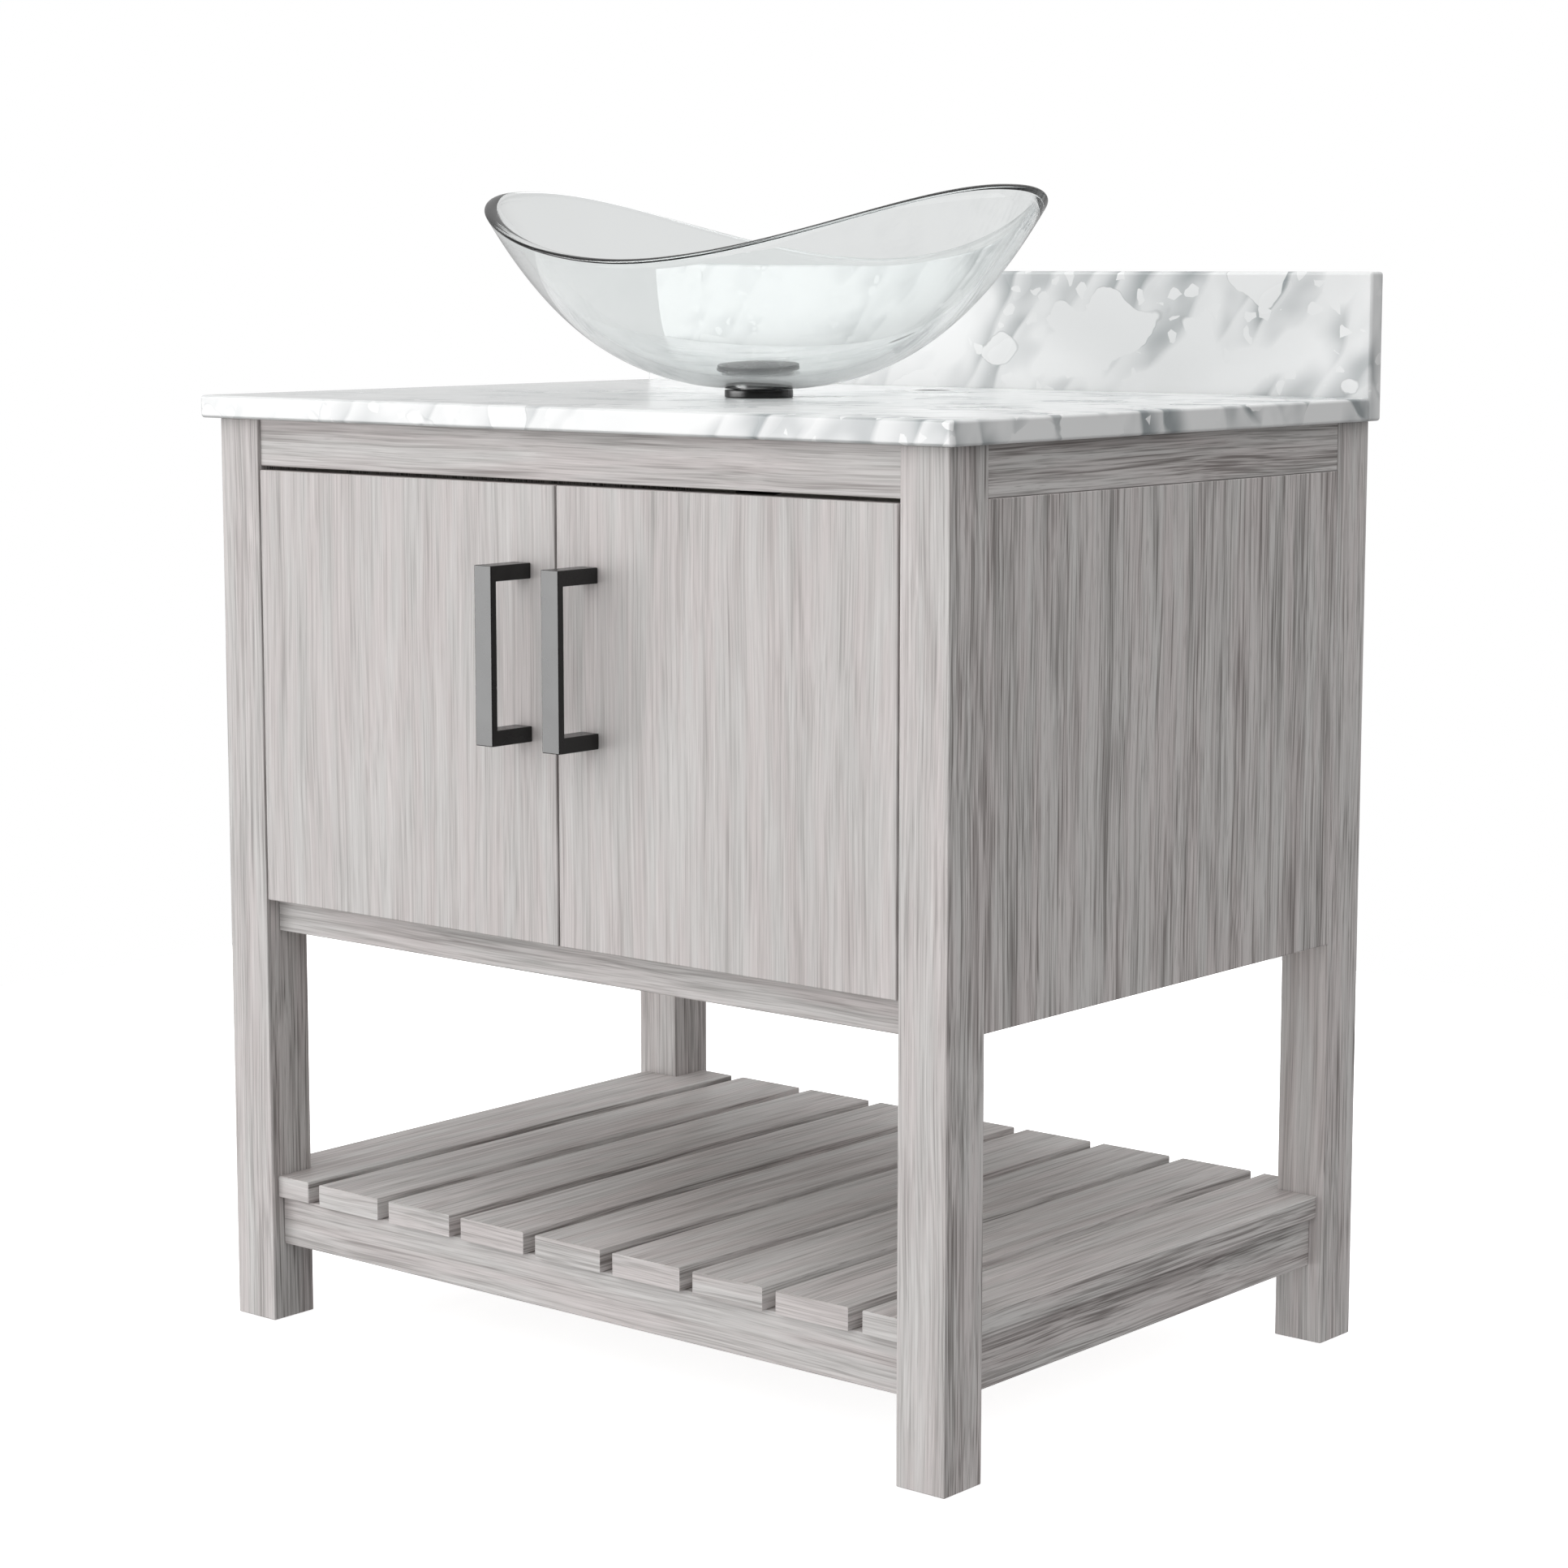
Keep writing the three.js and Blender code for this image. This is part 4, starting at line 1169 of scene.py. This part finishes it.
# The cap's stem is guided by a hub on four spokes inside the drain.
def addStemGuide():
    sizes = stemGuideSizes
    middle, _, top, _ = middleOf("drain_body")
    hubTop, hubHeight = top - sizes["hubDepth"], sizes["hubHeight"]
    ring = ringOutline(sizes["guideRadius"], sizes["hubRadius"], hubTop - hubHeight, hubTop)
    shape = turnedShape(roundedCorners(ring, sizes["hubEase"]), middle, 48)
    size = Matrix.Diagonal((sizes["spokeLength"], sizes["spokeWidth"], hubHeight / 2, 1))
    there = Matrix.Translation((sizes["spokeMiddle"], 0, hubTop - hubHeight / 2))
    for turn in range(sizes["spokes"]):
        spoke = bmesh.ops.create_cube(shape, size=1)["verts"]
        angle = turn * 2 * math.pi / sizes["spokes"]
        around = Matrix.Translation(middle) @ Matrix.Rotation(angle, 4, "Z")
        bmesh.ops.transform(shape, matrix=around @ there @ size, verts=spoke)
    mesh = meshFrom("drain_stem_guide", shape)
    smoothOver(mesh, 40)
    settle(newObject("drain_stem_guide", mesh), blackMetal, (), "vanity")


screwTree = makeScrewTree()
addHinges()
addAllScrews()
addThread()
addStemGuide()
print("hardware made")


stageLook = {
    "floorHalf": 1.7,
    "floorShade": 0.9,
    "floorGlow": 0.75,
    "dome": 0.84,  # light from above
    "front": 0.37,  # light from the front left
    "around": 0.285,  # light from everywhere
    "behindGlass": 0.77,
    "frontGloss": 7.6,
    "aroundGloss": 0.03,
    "backGloss": 0.4,
    "domeGloss": 0.4,
    "keyStrength": 0.34,
    "keySpread": 50,
    "keyAzimuth": -32,
    "keyElevation": 18,
    "frontFrom": (-0.42, -0.9, 0.1),
    "glossFrom": (-0.68, -0.72, 0.1),
    "backFrom": (-0.62, 0.77, 0.15),
}
cameraSizes = {
    "lens": 85.25,
    "sensor": 36,
    "place": (1.97244, -2.33364, 0.89493),
    "azimuth": 0.6984,
    "down": 0.1397,
}


def addFloor():
    half = stageLook["floorHalf"]
    mesh = bpy.data.meshes.new("floor")
    corners = [(-half, -half), (half, -half), (half, half), (-half, half)]
    mesh.from_pydata([(x, y, -0.5 * mm) for x, y in corners], [], [(0, 1, 2, 3)])
    floor = newObject("floor", mesh)
    settings = {"Specular IOR Level": 0.0, "Roughness": 0.9}
    made, tree, shader = newFinish("paleFloor", **settings)
    shade = noiseAt(tree, objectPlaces(tree), 2.0, 2).outputs["Fac"]
    pale = stageLook["floorShade"]
    colour = ramp(tree, shade, [(0.3, grey(pale)), (0.7, grey(pale + 0.01))])
    tree.links.new(colour, shader.inputs["Base Color"])
    shader.inputs["Emission Color"].default_value = (1, 1, 1, 1)
    shader.inputs["Emission Strength"].default_value = stageLook["floorGlow"]
    mesh.materials.append(made)
    floor.visible_diffuse = False
    floor.visible_glossy = False


# The studio's light by direction. Gloss sees a dark room with a bright front left side and a
# paler back and top, and the camera sees plain white.
def addSky():
    look = stageLook
    world = bpy.data.worlds.new("studio")
    bpy.context.scene.world = world
    world.use_nodes = True
    tree = world.node_tree
    direction = addNode(tree, "ShaderNodeTexCoord").outputs["Generated"]
    up = addNode(tree, "ShaderNodeSeparateXYZ", {0: direction}).outputs["Z"]
    facing = vectorCalc(tree, "DOT_PRODUCT", direction, look["frontFrom"])
    dome = spread(tree, up, 0.05, 0.75, 0.0, look["dome"])
    front = spread(tree, facing, -0.2, 0.75, 0.0, look["front"])
    soft = calc(tree, "ADD", calc(tree, "ADD", dome, front), look["around"])
    mirrored = vectorCalc(tree, "DOT_PRODUCT", direction, look["glossFrom"])
    gloss = spread(tree, mirrored, 0.82, 0.97, look["aroundGloss"], look["frontGloss"])
    away = vectorCalc(tree, "DOT_PRODUCT", direction, look["backFrom"])
    gloss = calc(tree, "ADD", gloss, spread(tree, away, 0.3, 0.8, 0.0, look["backGloss"]))
    gloss = calc(tree, "ADD", gloss, calc(tree, "MULTIPLY", dome, look["domeGloss"]))
    rays = addNode(tree, "ShaderNodeLightPath").outputs

    def seenBy(kind, value, otherwise):
        inputs = {0: rays[kind], 2: otherwise, 3: value}
        return addNode(tree, "ShaderNodeMix", inputs).outputs[0]

    seen = seenBy("Is Glossy Ray", gloss, soft)
    seen = seenBy("Is Transmission Ray", look["behindGlass"], seen)
    seen = seenBy("Is Camera Ray", 1.0, seen)
    tree.links.new(seen, tree.nodes["Background"].inputs["Strength"])
    tree.nodes["Background"].inputs["Color"].default_value = (1, 1, 1, 1)


def addKeyLight():
    look = stageLook
    lamp = bpy.data.lights.new("key", "SUN")
    lamp.energy = look["keyStrength"]
    lamp.angle = math.radians(look["keySpread"])
    key = newObject("key", lamp)
    azimuth = math.radians(look["keyAzimuth"])
    elevation = math.radians(look["keyElevation"])
    level = math.cos(elevation)
    towards = (math.sin(azimuth) * level, -math.cos(azimuth) * level, math.sin(elevation))
    key.rotation_mode = "QUATERNION"
    key.rotation_quaternion = Vector(towards).to_track_quat("Z", "Y")


def addCamera():
    sizes = cameraSizes
    lens = bpy.data.cameras.new("camera")
    lens.lens = sizes["lens"]
    lens.sensor_width = sizes["sensor"]
    camera = newObject("camera", lens)
    camera.location = sizes["place"]
    camera.rotation_euler = (math.pi / 2 - sizes["down"], 0, sizes["azimuth"])
    bpy.context.scene.camera = camera


addFloor()
addSky()
addKeyLight()
addCamera()
bpy.context.scene.view_settings.view_transform = "Standard"
print("stage made")
